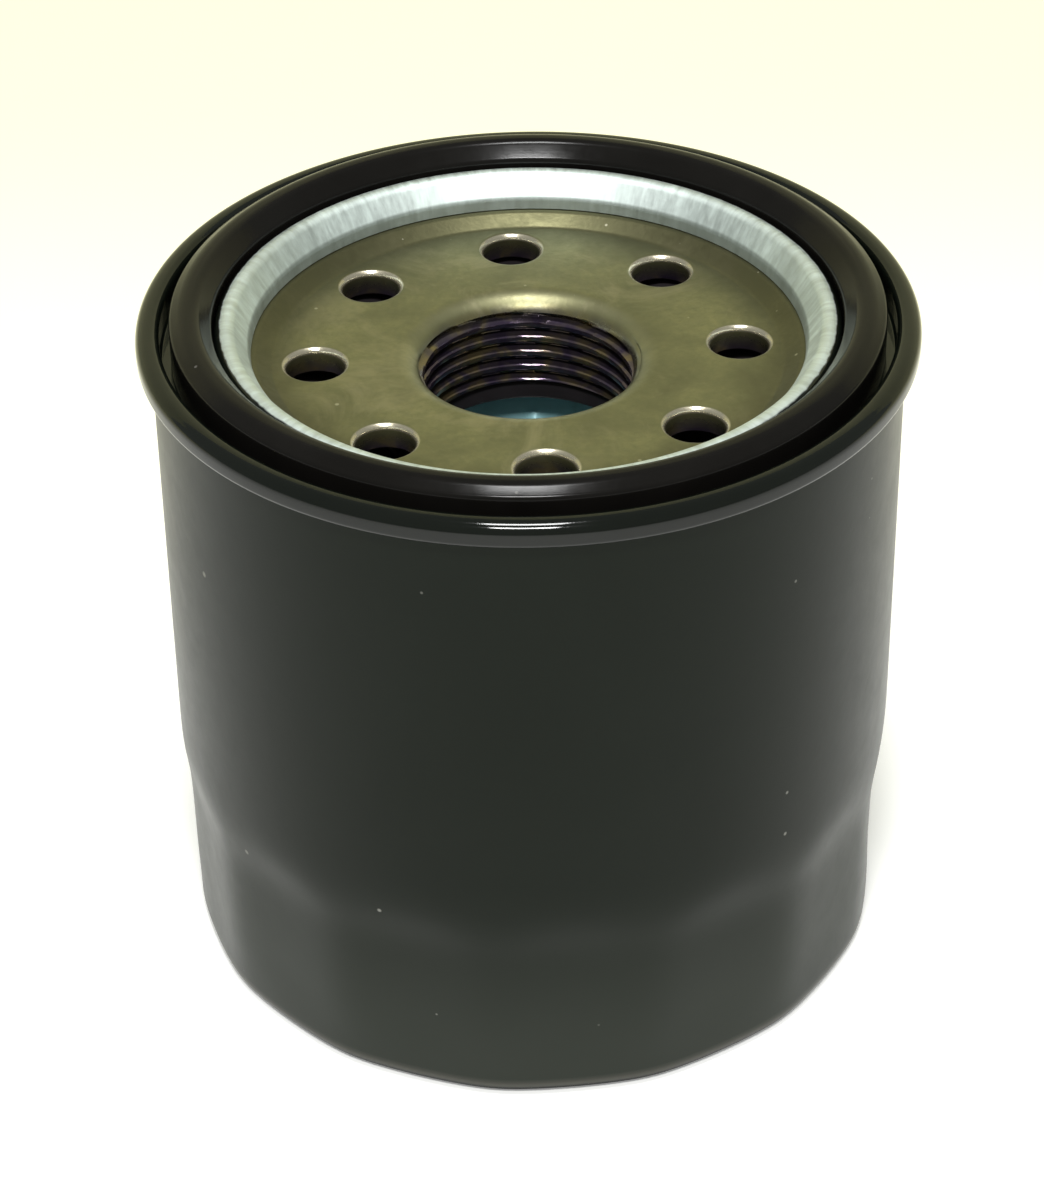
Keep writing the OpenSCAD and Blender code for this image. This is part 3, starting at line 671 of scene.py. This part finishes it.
def finish_paper(c):
    """Resin-treated filter paper: fibres along and across, warm patches where resin gathers."""
    made, tree, shader, place = start_material("filter paper")
    red, green, blue = base = tuple(c.paper)
    lay, soft, rough = (1.0, 1.0, 0.28), 0.72, 0.92
    stretched = put(tree, "Mapping", {"Vector": place, "Scale": lay}).outputs[0]
    fibre = noise(tree, stretched, 2600.0, 5.0, 0.7, 1.2)
    resin = remap(tree, noise(tree, place, 140.0, 3.0, 0.6), 0.4, 0.7)
    tone = tint(tree, remap(tree, fibre, 0.35, 0.65), shade(base, 0.72), base)
    tone = tint(tree, times(tree, resin, 0.4), tone, (red * 0.8, green * 0.62, blue * 0.42))
    connect(tree, shader, Base_Color=tone, Roughness=remap(tree, fibre, 0.3, 0.7, soft, rough),
            Sheen_Weight=0.15, Normal=bump(tree, fibre, 0.45, 0.1))
    return made


def finish_cast(name, base, gloss):
    """A poured compound: glossy skin with slow waves, and pinholes painted darker as painted shade.
    """
    made, tree, shader, place = start_material(name)
    wave = noise(tree, place, 260.0, 2.0, 0.5)
    pin = put(tree, "TexVoronoi", {"Vector": place, "Scale": 900.0}).outputs["Distance"]
    hole = remap(tree, pin, 0.05, 0.14, 1.0, 0.0)
    tone = tint(tree, remap(tree, wave, 0.35, 0.65), shade(base, 0.8), base)
    # painted shade: each pinhole is painted darker
    tone = tint(tree, times(tree, hole, 0.5), tone, shade(base, 0.35))
    height = calc(tree, "MULTIPLY_ADD", hole, -0.6, wave)
    connect(tree, shader, Base_Color=tone,
            Roughness=remap(tree, wave, 0.3, 0.7, gloss, gloss + 0.15),
            Normal=bump(tree, height, 0.25, 0.1))
    return made


def finish_floor(c):
    """Matt pale board: hardly visible fibre, so that the light stays even, and creamier behind."""
    made, tree, shader, place = start_material("pale floor")
    cream_board, cream_glow, white = (0.93, 0.90, 0.62), (1.0, 0.98, 0.62), (1.0, 1.0, 1.0)
    fade_end = 170 * MM
    fibre = remap(tree, noise(tree, place, 60.0, 4.0, 0.6), 0.3, 0.7, 0.0, 0.15)
    tone = tint(tree, fibre, tuple(c.floor), shade(c.floor, 0.98))
    back = put(tree, "SeparateXYZ", {0: place}).outputs[1]
    cream = remap(tree, back, 0.0, fade_end, smooth=True)
    tone = tint(tree, cream, tone, cream_board)
    glow = tint(tree, cream, white, cream_glow)
    connect(tree, shader, Base_Color=tone, Roughness=0.9, Specular_IOR_Level=0.1,
            Emission_Color=glow, Emission_Strength=0.24)
    return made


def materials():
    """All finishes by name, made once."""
    if FINISHES:
        return FINISHES
    c, s = bpy.context.scene.oil_filter.colours, sizes()
    build_groups()
    FINISHES.update({
        "black_paint": finish_enamel(c, s),
        "zinc_sheet": finish_lid(c, s),
        "yellow_zinc_plate": finish_chromate(c, s),
        "nitrile_rubber": finish_rubber("nitrile rubber", tuple(c.gasket), 0.12, 0.17, 0.2),
        "valve_rubber": finish_rubber("valve rubber", tuple(c.valve), 0.34, 0.48, 0.5),
        "blue_zinc": finish_plated("blue zinc", tuple(c.blue_zinc), 0.42, 0.56, metallic=0.1),
        "blue_zinc_tube": finish_plated("blue zinc tube", shade(c.blue_zinc, 0.9, 0.08),
                                        0.28, 0.44),
        "tinned_strip": finish_plated("tinned strip", (0.66, 0.66, 0.64), 0.22, 0.36),
        "valve_steel": finish_plated("valve steel", tuple(c.steel), 0.28, 0.46, 0.5, 220.0),
        "spring_steel": finish_plated("spring steel", shade(c.steel, 0.72), 0.26, 0.42, 0.4,
                                      300.0),
        "filter_paper": finish_paper(c),
        "plastisol": finish_cast("plastisol", tuple(c.plastisol), 0.3),
        "sealing_compound": finish_cast("sealing compound", (0.12, 0.19, 0.11), 0.45),
    })
    return FINISHES


def dress(obj, slot):
    """One finish on the whole piece."""
    obj.data.materials.clear()
    obj.data.materials.append(materials()[slot])


def dress_node(node, slot):
    """A carried-over CAD node in its better finish."""
    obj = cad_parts[node]
    if not obj.material_slots:
        obj.data.materials.append(materials()[slot])
    for held in obj.material_slots:
        held.material = materials()[slot]


def stand_for(obj, node, body, slot):
    """A finished piece takes the place of a CAD node, on its body and in its slot's finish."""
    dress(obj, slot)
    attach(obj, body)
    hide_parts(node)


# ---------------------------------------------------------------- the pieces' shapes

# what a row of the can follows: the round form, the flats at its own radius, or the drafted flats
ROUND, FLATTED, DRAFTED = 0, 1, 2


def can_radius(s):
    """How a grid's radius becomes the can's. A flat keeps the points at apothem / cos(angle off
    the flat), the flats are joined by a power mean of high order so that the ridges are soft, and
    a soft minimum with the round wall lets each flat run out in an arch at its shoulder."""
    order, soft = 62.0, 0.38
    # towards the foot the flats lose half their shape over this height, round this circle
    fade_h, foot_share, foot_ridge = 6.0, 0.5, 0.009
    # the press leaves the shoulder as an easy swell, half as steep as the die and a little lower
    swell, ease, drop = 0.45, 0.5, 0.5
    step = TURN / s.flats

    def radius(r, z, angle, inside, follows):
        off = (angle - s.flats_turn) % step - step / 2
        mean = np.cos(off) ** order
        for side in (-step, step):
            mean = mean + np.maximum(np.cos(off + side), 0) ** order
        fade = eased((z - s.base_r) / fade_h)
        share = foot_share + (1 - foot_share) * fade
        polygon = 1 + (mean ** (-1 / order) - 1) * share + (1 - share) * foot_ridge
        rise = z - s.flats_z - inside * math.tan((s.shoulder + s.draft) / 2) + drop
        wall = (s.flat_r - inside + np.minimum(z - s.flats_z, 0) * math.tan(s.draft)
                + swell * np.logaddexp(0, rise * ease * math.tan(s.shoulder) / swell))
        flat = np.where(follows == DRAFTED, wall, r) * polygon
        round_wall = s.can_r - inside
        low = round_wall - soft * np.logaddexp(0, (round_wall - flat) / soft)
        return np.where(follows == ROUND, r, low)
    return radius


def build_can():
    """The drawn can: the outer skin from the centre of the base up the flats and wall, over the
    hook inside the seam, and back down the inner skin, turned about the axis."""
    s = sizes()
    hook_z = s.shell_h - s.lid_t - PLAY - s.can_t / 2
    tip_z = s.shell_h - s.seam_h + s.lid_t + 0.1
    wall_r, hook_r = s.can_r - s.can_t / 2, s.can_r + 2 * PLAY + s.lid_t + s.can_t / 2
    # the rows lie close over the shoulder's swell, from below the flats' upper edge to above it
    below, above, close, columns_a_flat = 3.4, 7.6, 0.2, 36

    def skin(inside):
        """One face of the can, from the centre of the base to the top of the wall."""
        corner = s.base_r - inside
        foot = s.flat_r - (s.flats_z - s.base_r) * math.tan(s.draft) - inside
        panel_top, ring = s.panel_rise + inside, s.panel_r + inside
        panel = rounded([(0, panel_top), (ring - s.panel_rise, panel_top, 0.8),
                         (ring, inside, 0.6), (foot - corner - 1.2, inside)], 6, False)
        panel = refined(panel, 2.5, False)
        t = np.linspace(0, math.pi / 2, 11)
        arc = np.stack([foot - corner + corner * np.sin(t), s.base_r - corner * np.cos(t)], 1)
        heights = np.concatenate([
            np.linspace(s.base_r + 0.6, s.flats_z - below - close, 12),
            np.arange(s.flats_z - below, s.flats_z + above, close),
            np.linspace(s.flats_z + above + 2 * close, s.shell_h - s.seam_h, 14)])
        wall = np.stack([np.full(len(heights), s.can_r - inside), heights], 1)
        kind = np.concatenate([
            np.full(len(panel), ROUND), np.full(len(arc), FLATTED),
            np.where(heights < s.flats_z + above + close, DRAFTED, ROUND)])
        return np.concatenate([panel, arc, wall]), kind

    outer, outer_kind = skin(0.0)
    inner, inner_kind = skin(s.can_t)
    middle = rounded([(wall_r, s.shell_h - s.seam_h + 0.1), (wall_r, hook_z, 0.25),
                      (hook_r, hook_z, 0.52), (hook_r, tip_z)], 6, False)
    hook = sheet(middle, s.can_t)
    half = len(hook) // 2
    # the sheet's left side is the inner face of the wall, so it is walked on the way back
    over, back = hook[half:][::-1], hook[:half][::-1]
    line = np.concatenate([outer, over, back, inner[::-1]])
    kind = np.concatenate([outer_kind, np.full(len(hook), ROUND), inner_kind[::-1]])[:, None]
    inside = np.concatenate([np.zeros(len(outer) + len(over)),
                             np.full(len(back) + len(inner), s.can_t)])[:, None]
    shape = can_radius(s)
    points, faces = revolve(line, s.flats * columns_a_flat, False,
                            lambda r, z, a: shape(r, z, a, inside, kind))
    stand_for(make_object("painted_can", points, faces, 24), "can", "shell", "black_paint")


def build_lid():
    """The lid: one sheet carried along its mid-line from the lip's foot over the crest, round the
    gasket channel, up the chuck wall and round the rolled seam, turned about the axis."""
    s = sizes()
    top_z = s.shell_h - s.lid_t / 2
    crest_z = top_z - 0.1
    low_z = s.shell_h - s.seam_h + s.lid_t / 2
    floor_z = s.channel_z - s.lid_t / 2
    lip_rc = s.lip_ri + s.lid_t / 2
    seam_rc = s.seam_ro - s.lid_t / 2
    wall_rc = s.can_r - s.can_t - PLAY - s.lid_t / 2
    cover_rc = s.can_r + PLAY + s.lid_t / 2
    middle = rounded([
        (lip_rc, s.plate_top + 0.05), (lip_rc + 0.12, s.plate_top + 1, 0.9),
        (lip_rc + s.lip_w / 2, crest_z, 0.8), (s.lip_ro - s.lid_t / 2, crest_z - 0.45, 0.6),
        (s.lip_ro - s.lid_t / 2, floor_z, 0.4), (wall_rc, floor_z, 0.4), (wall_rc, top_z, 0.55),
        (seam_rc, top_z, 0.95), (seam_rc, low_z, 0.35), (cover_rc, low_z, 0.3),
        (cover_rc, s.shell_h - s.lid_t - s.can_t - 0.41)], 10, False)
    obj = turned("seamed_lid", sheet(middle, s.lid_t), RIM_COLUMNS)
    stand_for(obj, "seaming_lid", "shell", "zinc_sheet")
    dress_node("seam_sealant", "sealing_compound")


def build_gasket():
    """The gasket: a closed outline with a crowned top, a sloped inner face and a rounded outer
    shoulder, turned about the axis."""
    s = sizes()
    slope_w, slope_h, shoulder_h = 1.35, 1.5, 0.8
    land_ri = s.gasket_ri + slope_w
    outline = rounded([
        (s.gasket_ri, s.channel_z, 0.3), (s.gasket_ro, s.channel_z, 0.3),
        (s.gasket_ro, s.gasket_top - shoulder_h, 0.6), (land_ri + s.land_w, s.gasket_top, 1.6),
        (land_ri, s.gasket_top, 1.1), (s.gasket_ri, s.gasket_top - slope_h, 0.9)], 12)
    obj = turned("rubber_gasket", refined(outline, 1.2), RIM_COLUMNS)
    stand_for(obj, "gasket", "shell", "nitrile_rubber")


def thread_depth(s, angle, z):
    """How far a metric thread reaches out of its minor radius: along the pitch a crest of a
    quarter, two rolled flanks and a root of an eighth, moved on by one pitch a turn."""
    start, root, crest, depth = 0.15, 1 / 16, 3 / 8, 0.5413 * s.thread_pitch
    phase = ((z - s.collar_end) / s.thread_pitch - angle / TURN + start) % 1.0
    return depth * eased((crest - np.abs(phase - 0.5)) / (crest - root))


def build_plate():
    """The tapping plate in three surfaces that meet. Round every inlet hole, lines run from the
    hole's edge out to its sector's border, over the top face, round the rolled edge, down the hole
    and out again underneath. The bore and collar, and the dished rim, are turned about the axis;
    in the bore the radius is the larger of the entry's curve and the thread's helix."""
    s = sizes()
    sector_columns, side_rows, top_rows, low_rows = 32, 20, 14, 10
    roll, burr = 0.55, 0.15
    columns, half = s.holes * sector_columns, math.pi / s.holes
    inner_r, outer_r = s.hole_circle_r - 4.2, s.dish_ri - 0.45

    # the border of a sector, walked round: inner arc, one side, outer arc, other side
    arc = np.linspace(-half, half, sector_columns + 1)[:-1]
    climb = np.linspace(inner_r, outer_r, side_rows + 1)[:-1]
    border_a = np.concatenate([arc, np.full(side_rows, half), -arc, np.full(side_rows, -half)])
    border_r = np.concatenate([np.full(sector_columns, inner_r), climb,
                               np.full(sector_columns, outer_r), (inner_r + outer_r - climb)])
    border = np.stack([border_r * np.cos(border_a), border_r * np.sin(border_a)], 1)
    centre = np.array([s.hole_circle_r, 0])

    t = np.linspace(0, math.pi / 2, 8)
    down = np.array([0.35, 0.7, 1.0]) * (s.plate_t - roll - burr)
    edge = np.concatenate([s.hole_r + roll * (1 - np.sin(t)), np.full(len(down), s.hole_r)])
    far = np.linalg.norm(border - centre, axis=1)
    start, low_start = s.hole_r + roll, s.hole_r + burr
    distance = np.concatenate([
        start + (far - start) * np.linspace(1, 0, top_rows + 1)[:-1, None],
        np.broadcast_to(edge[:, None], (len(edge), len(border))),
        low_start + (far - low_start) * np.linspace(0, 1, low_rows)[:, None]])
    height = np.concatenate([
        np.full(top_rows, s.dish_top), s.dish_top - roll * (1 - np.cos(t)),
        s.dish_top - roll - down, np.full(low_rows, s.dish_under)])
    ring = centre + unit(border - centre)[None] * distance[..., None]
    rows, count = distance.shape
    turn = s.holes_turn + np.arange(s.holes) * TURN / s.holes
    spin = np.stack([np.cos(turn), -np.sin(turn), np.sin(turn), np.cos(turn)], 1).reshape(-1, 2, 2)
    xy = np.einsum("kab,ijb->kija", spin, ring)
    z = np.broadcast_to(height[:, None, None], (*xy.shape[:3], 1))
    points = [np.concatenate([xy, z], -1).reshape(-1, 3)]
    faces = grid_faces(rows, count, False, True)
    all_faces = [(faces + (np.arange(s.holes) * rows * count)[:, None, None]).reshape(-1, 4)]

    def add_turned(line, radius=None):
        """A turned surface whose columns meet the sectors' borders."""
        p, f = revolve(line, columns, False, radius)
        c, d = math.cos(s.holes_turn - half), math.sin(s.holes_turn - half)
        p = np.stack([c * p[:, 0] - d * p[:, 1], d * p[:, 0] + c * p[:, 1], p[:, 2]], 1)
        all_faces.append(f + sum(len(q) for q in points))
        points.append(p)

    dish_line = rounded([(inner_r, s.dish_top), (s.dish_ri, s.dish_top, 1),
                         (s.dish_ro, s.plate_top, 1), (s.plate_r, s.plate_top, 0.2)], 8, False)
    dish_line = dish_line[dish_line[:, 0] > outer_r + 1e-6]
    rim_top = np.concatenate([[[outer_r, s.dish_top]], dish_line])
    rim_low = rim_top - (0, s.plate_t)
    add_turned(refined(np.concatenate([rim_top, rim_low[::-1]]), 1.5, False))

    # the bore, from the sectors' inner border down the entry and the thread, and up the collar
    t = np.linspace(0, math.pi / 2, 26)
    entry = np.stack([s.thread_r + s.entry_r * (1 - np.sin(t)),
                      s.dish_top - s.entry_r * (1 - np.cos(t))], 1)
    fall, end_w, lead_h = 0.075, 1.0, 0.2
    drop = np.arange(entry[-1, 1] - fall, s.collar_end + 0.3, -fall)
    bore = np.stack([np.full(len(drop), s.thread_r), drop], 1)
    mouth_low = [[s.thread_r + 0.25, s.collar_end + 0.08], [s.thread_r + 0.9, s.collar_end]]
    collar = rounded([(s.thread_r + end_w, s.collar_end), (s.collar_ro, s.collar_end, 0.3),
                      (s.collar_ro, s.dish_under, 0.8), (inner_r, s.dish_under)], 6, False)
    line = refined(np.concatenate([[[inner_r, s.dish_top]], entry]), 0.6, False)
    line = np.concatenate([line, bore, mouth_low, collar[1:]])
    is_threaded = (np.arange(len(line)) <= len(line) - len(collar))[:, None]

    def radius(r, z, angle):
        # the plate is turned after it is made, so that the helix starts from this angle
        cut = s.thread_r + thread_depth(s, angle, z)
        lead = np.clip((s.dish_top - z) / lead_h, 0, 1)
        return np.maximum(r, np.where((r < s.collar_ro - end_w) & is_threaded, cut * lead, 0))
    add_turned(line, radius)
    obj = make_object("threaded_plate", np.concatenate(points), np.concatenate(all_faces), 40,
                      merge=2e-3)
    stand_for(obj, "tapping_plate", "shell", "yellow_zinc_plate")


def build_valve():
    """The anti-drain valve: a sleeve on the collar and a membrane whose lip seals under the plate,
    one closed outline turned about the axis."""
    s = sizes()
    stop_r, stop_z = s.thread_r + 0.55, s.collar_end - 0.05
    seat_z, seal_z = s.cap_top + 0.05, s.plate_top - s.plate_t - 0.05
    sleeve_ri = s.collar_ro + 0.05
    sleeve_ro = sleeve_ri + 1.15
    bend_r, bend_z = s.dish_ri - 0.2, s.dish_under - 0.7
    root_r, seal_ri, thick = sleeve_ro + 1.6, s.dish_ro + 0.4, 1.1
    outline = rounded([
        (stop_r, stop_z - 2, 0.5), (sleeve_ro, stop_z - 2, 0.4), (sleeve_ro, seat_z, 0.2),
        (root_r + 0.7, seat_z, 0.5), (bend_r + 0.4, bend_z - thick, 1),
        (seal_ri + 0.2, seal_z - 1.15, 0.4), (seal_ri + 1.3, seal_z - 0.9, 0.3),
        (seal_ri + 1.3, seal_z, 0.3), (seal_ri, seal_z, 0.2), (bend_r, bend_z, 0.8),
        (root_r, seat_z + thick, 0.6), (sleeve_ro + 0.9, seat_z + thick, 0.4),
        (sleeve_ro + 0.9, s.dish_under - 0.05, 0.2), (sleeve_ri + 1, s.dish_under - 0.05, 0.1),
        (sleeve_ri, s.dish_under - 1.1, 0.3), (sleeve_ri, stop_z, 0.1), (stop_r, stop_z, 0.5)], 8)
    obj = turned("drain_valve_rubber", refined(outline, 0.8), 256)
    dress(obj, "valve_rubber")
    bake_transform(obj)
    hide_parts("anti_drain_valve")


def build_element():
    """The pleated element: the top cap is a drawn sheet with pips pressed into its collar, and the
    paper is a band that swings between two radii on a soft triangle wave; the rest is carried
    over in its finish."""
    s = sizes()
    face_z, collar_h, rim_h = s.cap_top - s.cap_t / 2, 9.3, 3.5
    collar_r, rim_r = s.cap_ri + s.cap_t / 2, s.cap_ro - s.cap_t / 2
    middle = rounded([(collar_r, face_z - collar_h), (collar_r, face_z, 0.45),
                      (rim_r, face_z, 0.45), (rim_r, face_z - rim_h)], 6, False)
    pips, pips_turn, pip_z, pip_r, pip_h = 4, math.radians(86.3), s.collar_end - 6, 1.035, 0.72

    def pressed(r, z, angle):
        """Each pip is a round bulge inwards: a cosine bell over its radius."""
        step = TURN / pips
        off = ((angle - pips_turn + step / 2) % step - step / 2) * s.cap_ri
        far = np.minimum(np.hypot(off, z - pip_z) / pip_r, 1)
        bell = 0.5 + 0.5 * np.cos(math.pi * far)
        return r - np.where(r < s.cap_ri + s.cap_t + 0.05, pip_h * bell, 0)

    cap = turned("top_cap_pressing", refined(sheet(middle, s.cap_t), 0.16), 512, radius=pressed)
    stand_for(cap, "top_end_cap", "element", "blue_zinc")

    (_, _, low), (paper_ro, _, high) = cad("pleated_media")
    outer_r, inner_r, paper = paper_ro - 2 * PLAY, s.cap_ri + 1.2, 0.45
    # the wave's peaks are rounded by this share, and each pleat has this many columns
    peak, columns, levels = 0.985, 24, 5
    angle = np.arange(s.pleats * columns) * TURN / (s.pleats * columns)
    wave = np.arcsin(peak * np.cos(s.pleats * angle)) / math.asin(peak)
    mid_r = (outer_r + inner_r + (outer_r - inner_r - paper) * wave) / 2
    line = np.stack([mid_r * np.cos(angle), mid_r * np.sin(angle)], 1)
    along = unit(np.roll(line, -1, 0) - np.roll(line, 1, 0))
    across = np.stack([along[:, 1], -along[:, 0]], 1) * paper / 2
    up = np.linspace(low, high, levels)
    points = np.concatenate([
        np.concatenate([np.broadcast_to(side, (levels, *side.shape)),
                        np.broadcast_to(z[:, None, None], (levels, len(side), 1))], -1)
        for side, z in ((line + across, up), (line - across, up[::-1]))])
    faces = grid_faces(len(points), len(line), True, True)
    pleats = make_object("pleated_paper", points.reshape(-1, 3), faces, 50)
    stand_for(pleats, "pleated_media", "element", "filter_paper")

    for node, slot in (("top_potting", "plastisol"), ("bottom_potting", "plastisol"),
                       ("media_clip", "tinned_strip"), ("centre_tube", "blue_zinc_tube"),
                       ("bottom_end_cap", "blue_zinc")):
        dress_node(node, slot)


def build_bypass():
    """The bypass valve: its spring is a round wire on a coil, and the pressed parts, the seal and
    the pin are carried over in their finishes."""
    (_, _, low), (_, _, high) = cad("bypass_spring")
    wire, coil_r, turns, steps = 0.9, 5.4, 5.5, 48
    path = coil_path(coil_r, coil_r, low, high, wire, turns, steps)
    spring = swept_wire("bypass_coil", path, wire / 2)
    stand_for(spring, "bypass_spring", "element", "spring_steel")
    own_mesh(spring)
    for node, slot in (("bypass_seat", "valve_steel"), ("bypass_poppet", "valve_steel"),
                       ("bypass_pin", "valve_steel"), ("bypass_cage", "valve_steel"),
                       ("bypass_seal", "valve_rubber")):
        dress_node(node, slot)


def build_support_spring():
    """The support spring: a round wire on a short cone under the element."""
    (_, _, low), (_, _, high) = cad("support_spring")
    wire, foot_r, head_r, turns, steps = 1.5, 17.738, 15.738, 2.25, 96
    path = coil_path(foot_r, head_r, low, high, wire, turns, steps)
    spring = swept_wire("support_coil", path, wire / 2)
    stand_for(spring, "support_spring", "shell", "spring_steel")
    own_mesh(spring)


def add_light(name, place, target, size, power):
    """A soft rectangular light that faces a target, with its place and size in millimetres."""
    data = bpy.data.lights.new(name, "AREA")
    data.shape, data.size, data.size_y = "RECTANGLE", size[0] * MM, size[1] * MM
    data.energy = power
    lamp = bpy.data.objects.new(name, data)
    lamp.location = Vector(place) * MM
    lamp.rotation_euler = (Vector(target) * MM - lamp.location).to_track_quat("-Z", "Y").to_euler()
    bpy.context.scene.collection.objects.link(lamp)


def build_stage():
    """The floor, the surroundings, the lights and the camera."""
    scene = bpy.context.scene
    run, bend, wide, front, tall = 900.0, 500.0, 3000.0, -1500.0, 1600.0
    t = np.linspace(0, math.pi / 2, 24)
    section = np.concatenate([[[front, 0], [0, 0]], np.stack(
        [run + bend * np.sin(t), bend * (1 - np.cos(t))], 1), [[run + bend, tall]]])
    x = np.linspace(-wide, wide, 9)
    points = np.stack(np.broadcast_arrays(
        x[None], section[:, :1], section[:, 1:2]), -1).reshape(-1, 3)
    sweep = make_object("floor_sweep", points, grid_faces(len(section), len(x), False, False), 80)
    if sweep.data.polygons[0].normal.z < 0:
        sweep.data.flip_normals()
    sweep.data.materials.append(finish_floor(scene.oil_filter.colours))

    world = bpy.data.worlds.new("studio")
    world.use_nodes = True
    sky = world.node_tree.nodes["Background"].inputs
    sky["Color"].default_value, sky["Strength"].default_value = (0.95, 1.0, 0.93, 1), 0.34
    scene.world = world
    scene.view_settings.view_transform = "Standard"
    middle = (0, 0, 40)
    add_light("key", (-20, -380, 560), middle, (150, 70), 3.0)
    add_light("top", (-10, -90, 700), middle, (140, 130), 2.5)

    data = bpy.data.cameras.new("camera")
    data.lens, data.sensor_width, data.sensor_fit = 106.695, 36, "AUTO"
    data.shift_x, data.clip_start, data.clip_end = 0.0386, 0.01, 20
    camera = bpy.data.objects.new("camera", data)
    pitch, roll, place = math.radians(34.87), math.radians(1.40), Vector((-5.13, -269.07, 219.59))
    level = Matrix.Rotation(math.pi / 2 - pitch, 4, "X")
    camera.matrix_world = Matrix.Translation(place * MM) @ level @ Matrix.Rotation(-roll, 4, "Z")
    scene.collection.objects.link(camera)
    scene.camera = camera


# ---------------------------------------------------------------- operators and panel

class BuildCan(bpy.types.Operator):
    """Build the painted can with its wrench flats"""
    bl_idname = "oil_filter.can"
    bl_label = "Can"

    def execute(self, context):
        build_can()
        return {"FINISHED"}


class BuildLid(bpy.types.Operator):
    """Build the seamed lid, its sealant and the gasket"""
    bl_idname = "oil_filter.lid"
    bl_label = "Lid and Gasket"

    def execute(self, context):
        build_lid()
        build_gasket()
        return {"FINISHED"}


class BuildPlate(bpy.types.Operator):
    """Build the threaded plate with its inlet holes"""
    bl_idname = "oil_filter.plate"
    bl_label = "Threaded Plate"

    def execute(self, context):
        build_plate()
        return {"FINISHED"}


class BuildValve(bpy.types.Operator):
    """Build the anti-drain valve"""
    bl_idname = "oil_filter.drain_valve"
    bl_label = "Anti-drain Valve"

    def execute(self, context):
        build_valve()
        return {"FINISHED"}


class BuildElement(bpy.types.Operator):
    """Build the pleated element with its caps and centre tube"""
    bl_idname = "oil_filter.element"
    bl_label = "Element"

    def execute(self, context):
        build_element()
        return {"FINISHED"}


class BuildBypass(bpy.types.Operator):
    """Build the bypass valve"""
    bl_idname = "oil_filter.bypass"
    bl_label = "Bypass Valve"

    def execute(self, context):
        build_bypass()
        return {"FINISHED"}


class BuildSupport(bpy.types.Operator):
    """Build the support spring"""
    bl_idname = "oil_filter.support_spring"
    bl_label = "Support Spring"

    def execute(self, context):
        build_support_spring()
        return {"FINISHED"}


class BuildStage(bpy.types.Operator):
    """Build the floor, the lights and the camera"""
    bl_idname = "oil_filter.stage"
    bl_label = "Stage"

    def execute(self, context):
        build_stage()
        return {"FINISHED"}


OPERATORS = (BuildCan, BuildLid, BuildPlate, BuildValve, BuildElement, BuildBypass, BuildSupport,
             BuildStage)


class FilterPanel(bpy.types.Panel):
    """The filter's builders and settings"""
    bl_label = "Oil Filter"
    bl_idname = "VIEW3D_PT_oil_filter"
    bl_space_type = "VIEW_3D"
    bl_region_type = "UI"
    bl_category = "Oil Filter"

    def draw(self, context):
        for operator in OPERATORS:
            self.layout.operator(operator.bl_idname)
        settings = context.scene.oil_filter
        for group in (settings.sizes, settings.colours):
            box = self.layout.box()
            for key in group.bl_rna.properties.keys():
                if key not in ("rna_type", "name"):
                    box.prop(group, key)


CLASSES = (FilterSizes, FilterColours, FilterSettings, *OPERATORS, FilterPanel)


def register():
    for cls in CLASSES:
        bpy.utils.register_class(cls)
    bpy.types.Scene.oil_filter = PointerProperty(type=FilterSettings)


def unregister():
    del bpy.types.Scene.oil_filter
    for cls in reversed(CLASSES):
        bpy.utils.unregister_class(cls)


def main():
    """Registers the add-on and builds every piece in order."""
    register()
    for operator in OPERATORS:
        space, name = operator.bl_idname.split(".")
        result = getattr(getattr(bpy.ops, space), name)()
        if result != {"FINISHED"}:
            raise RuntimeError(f"{operator.bl_idname} did not finish")


if __name__ == "__main__":
    main()
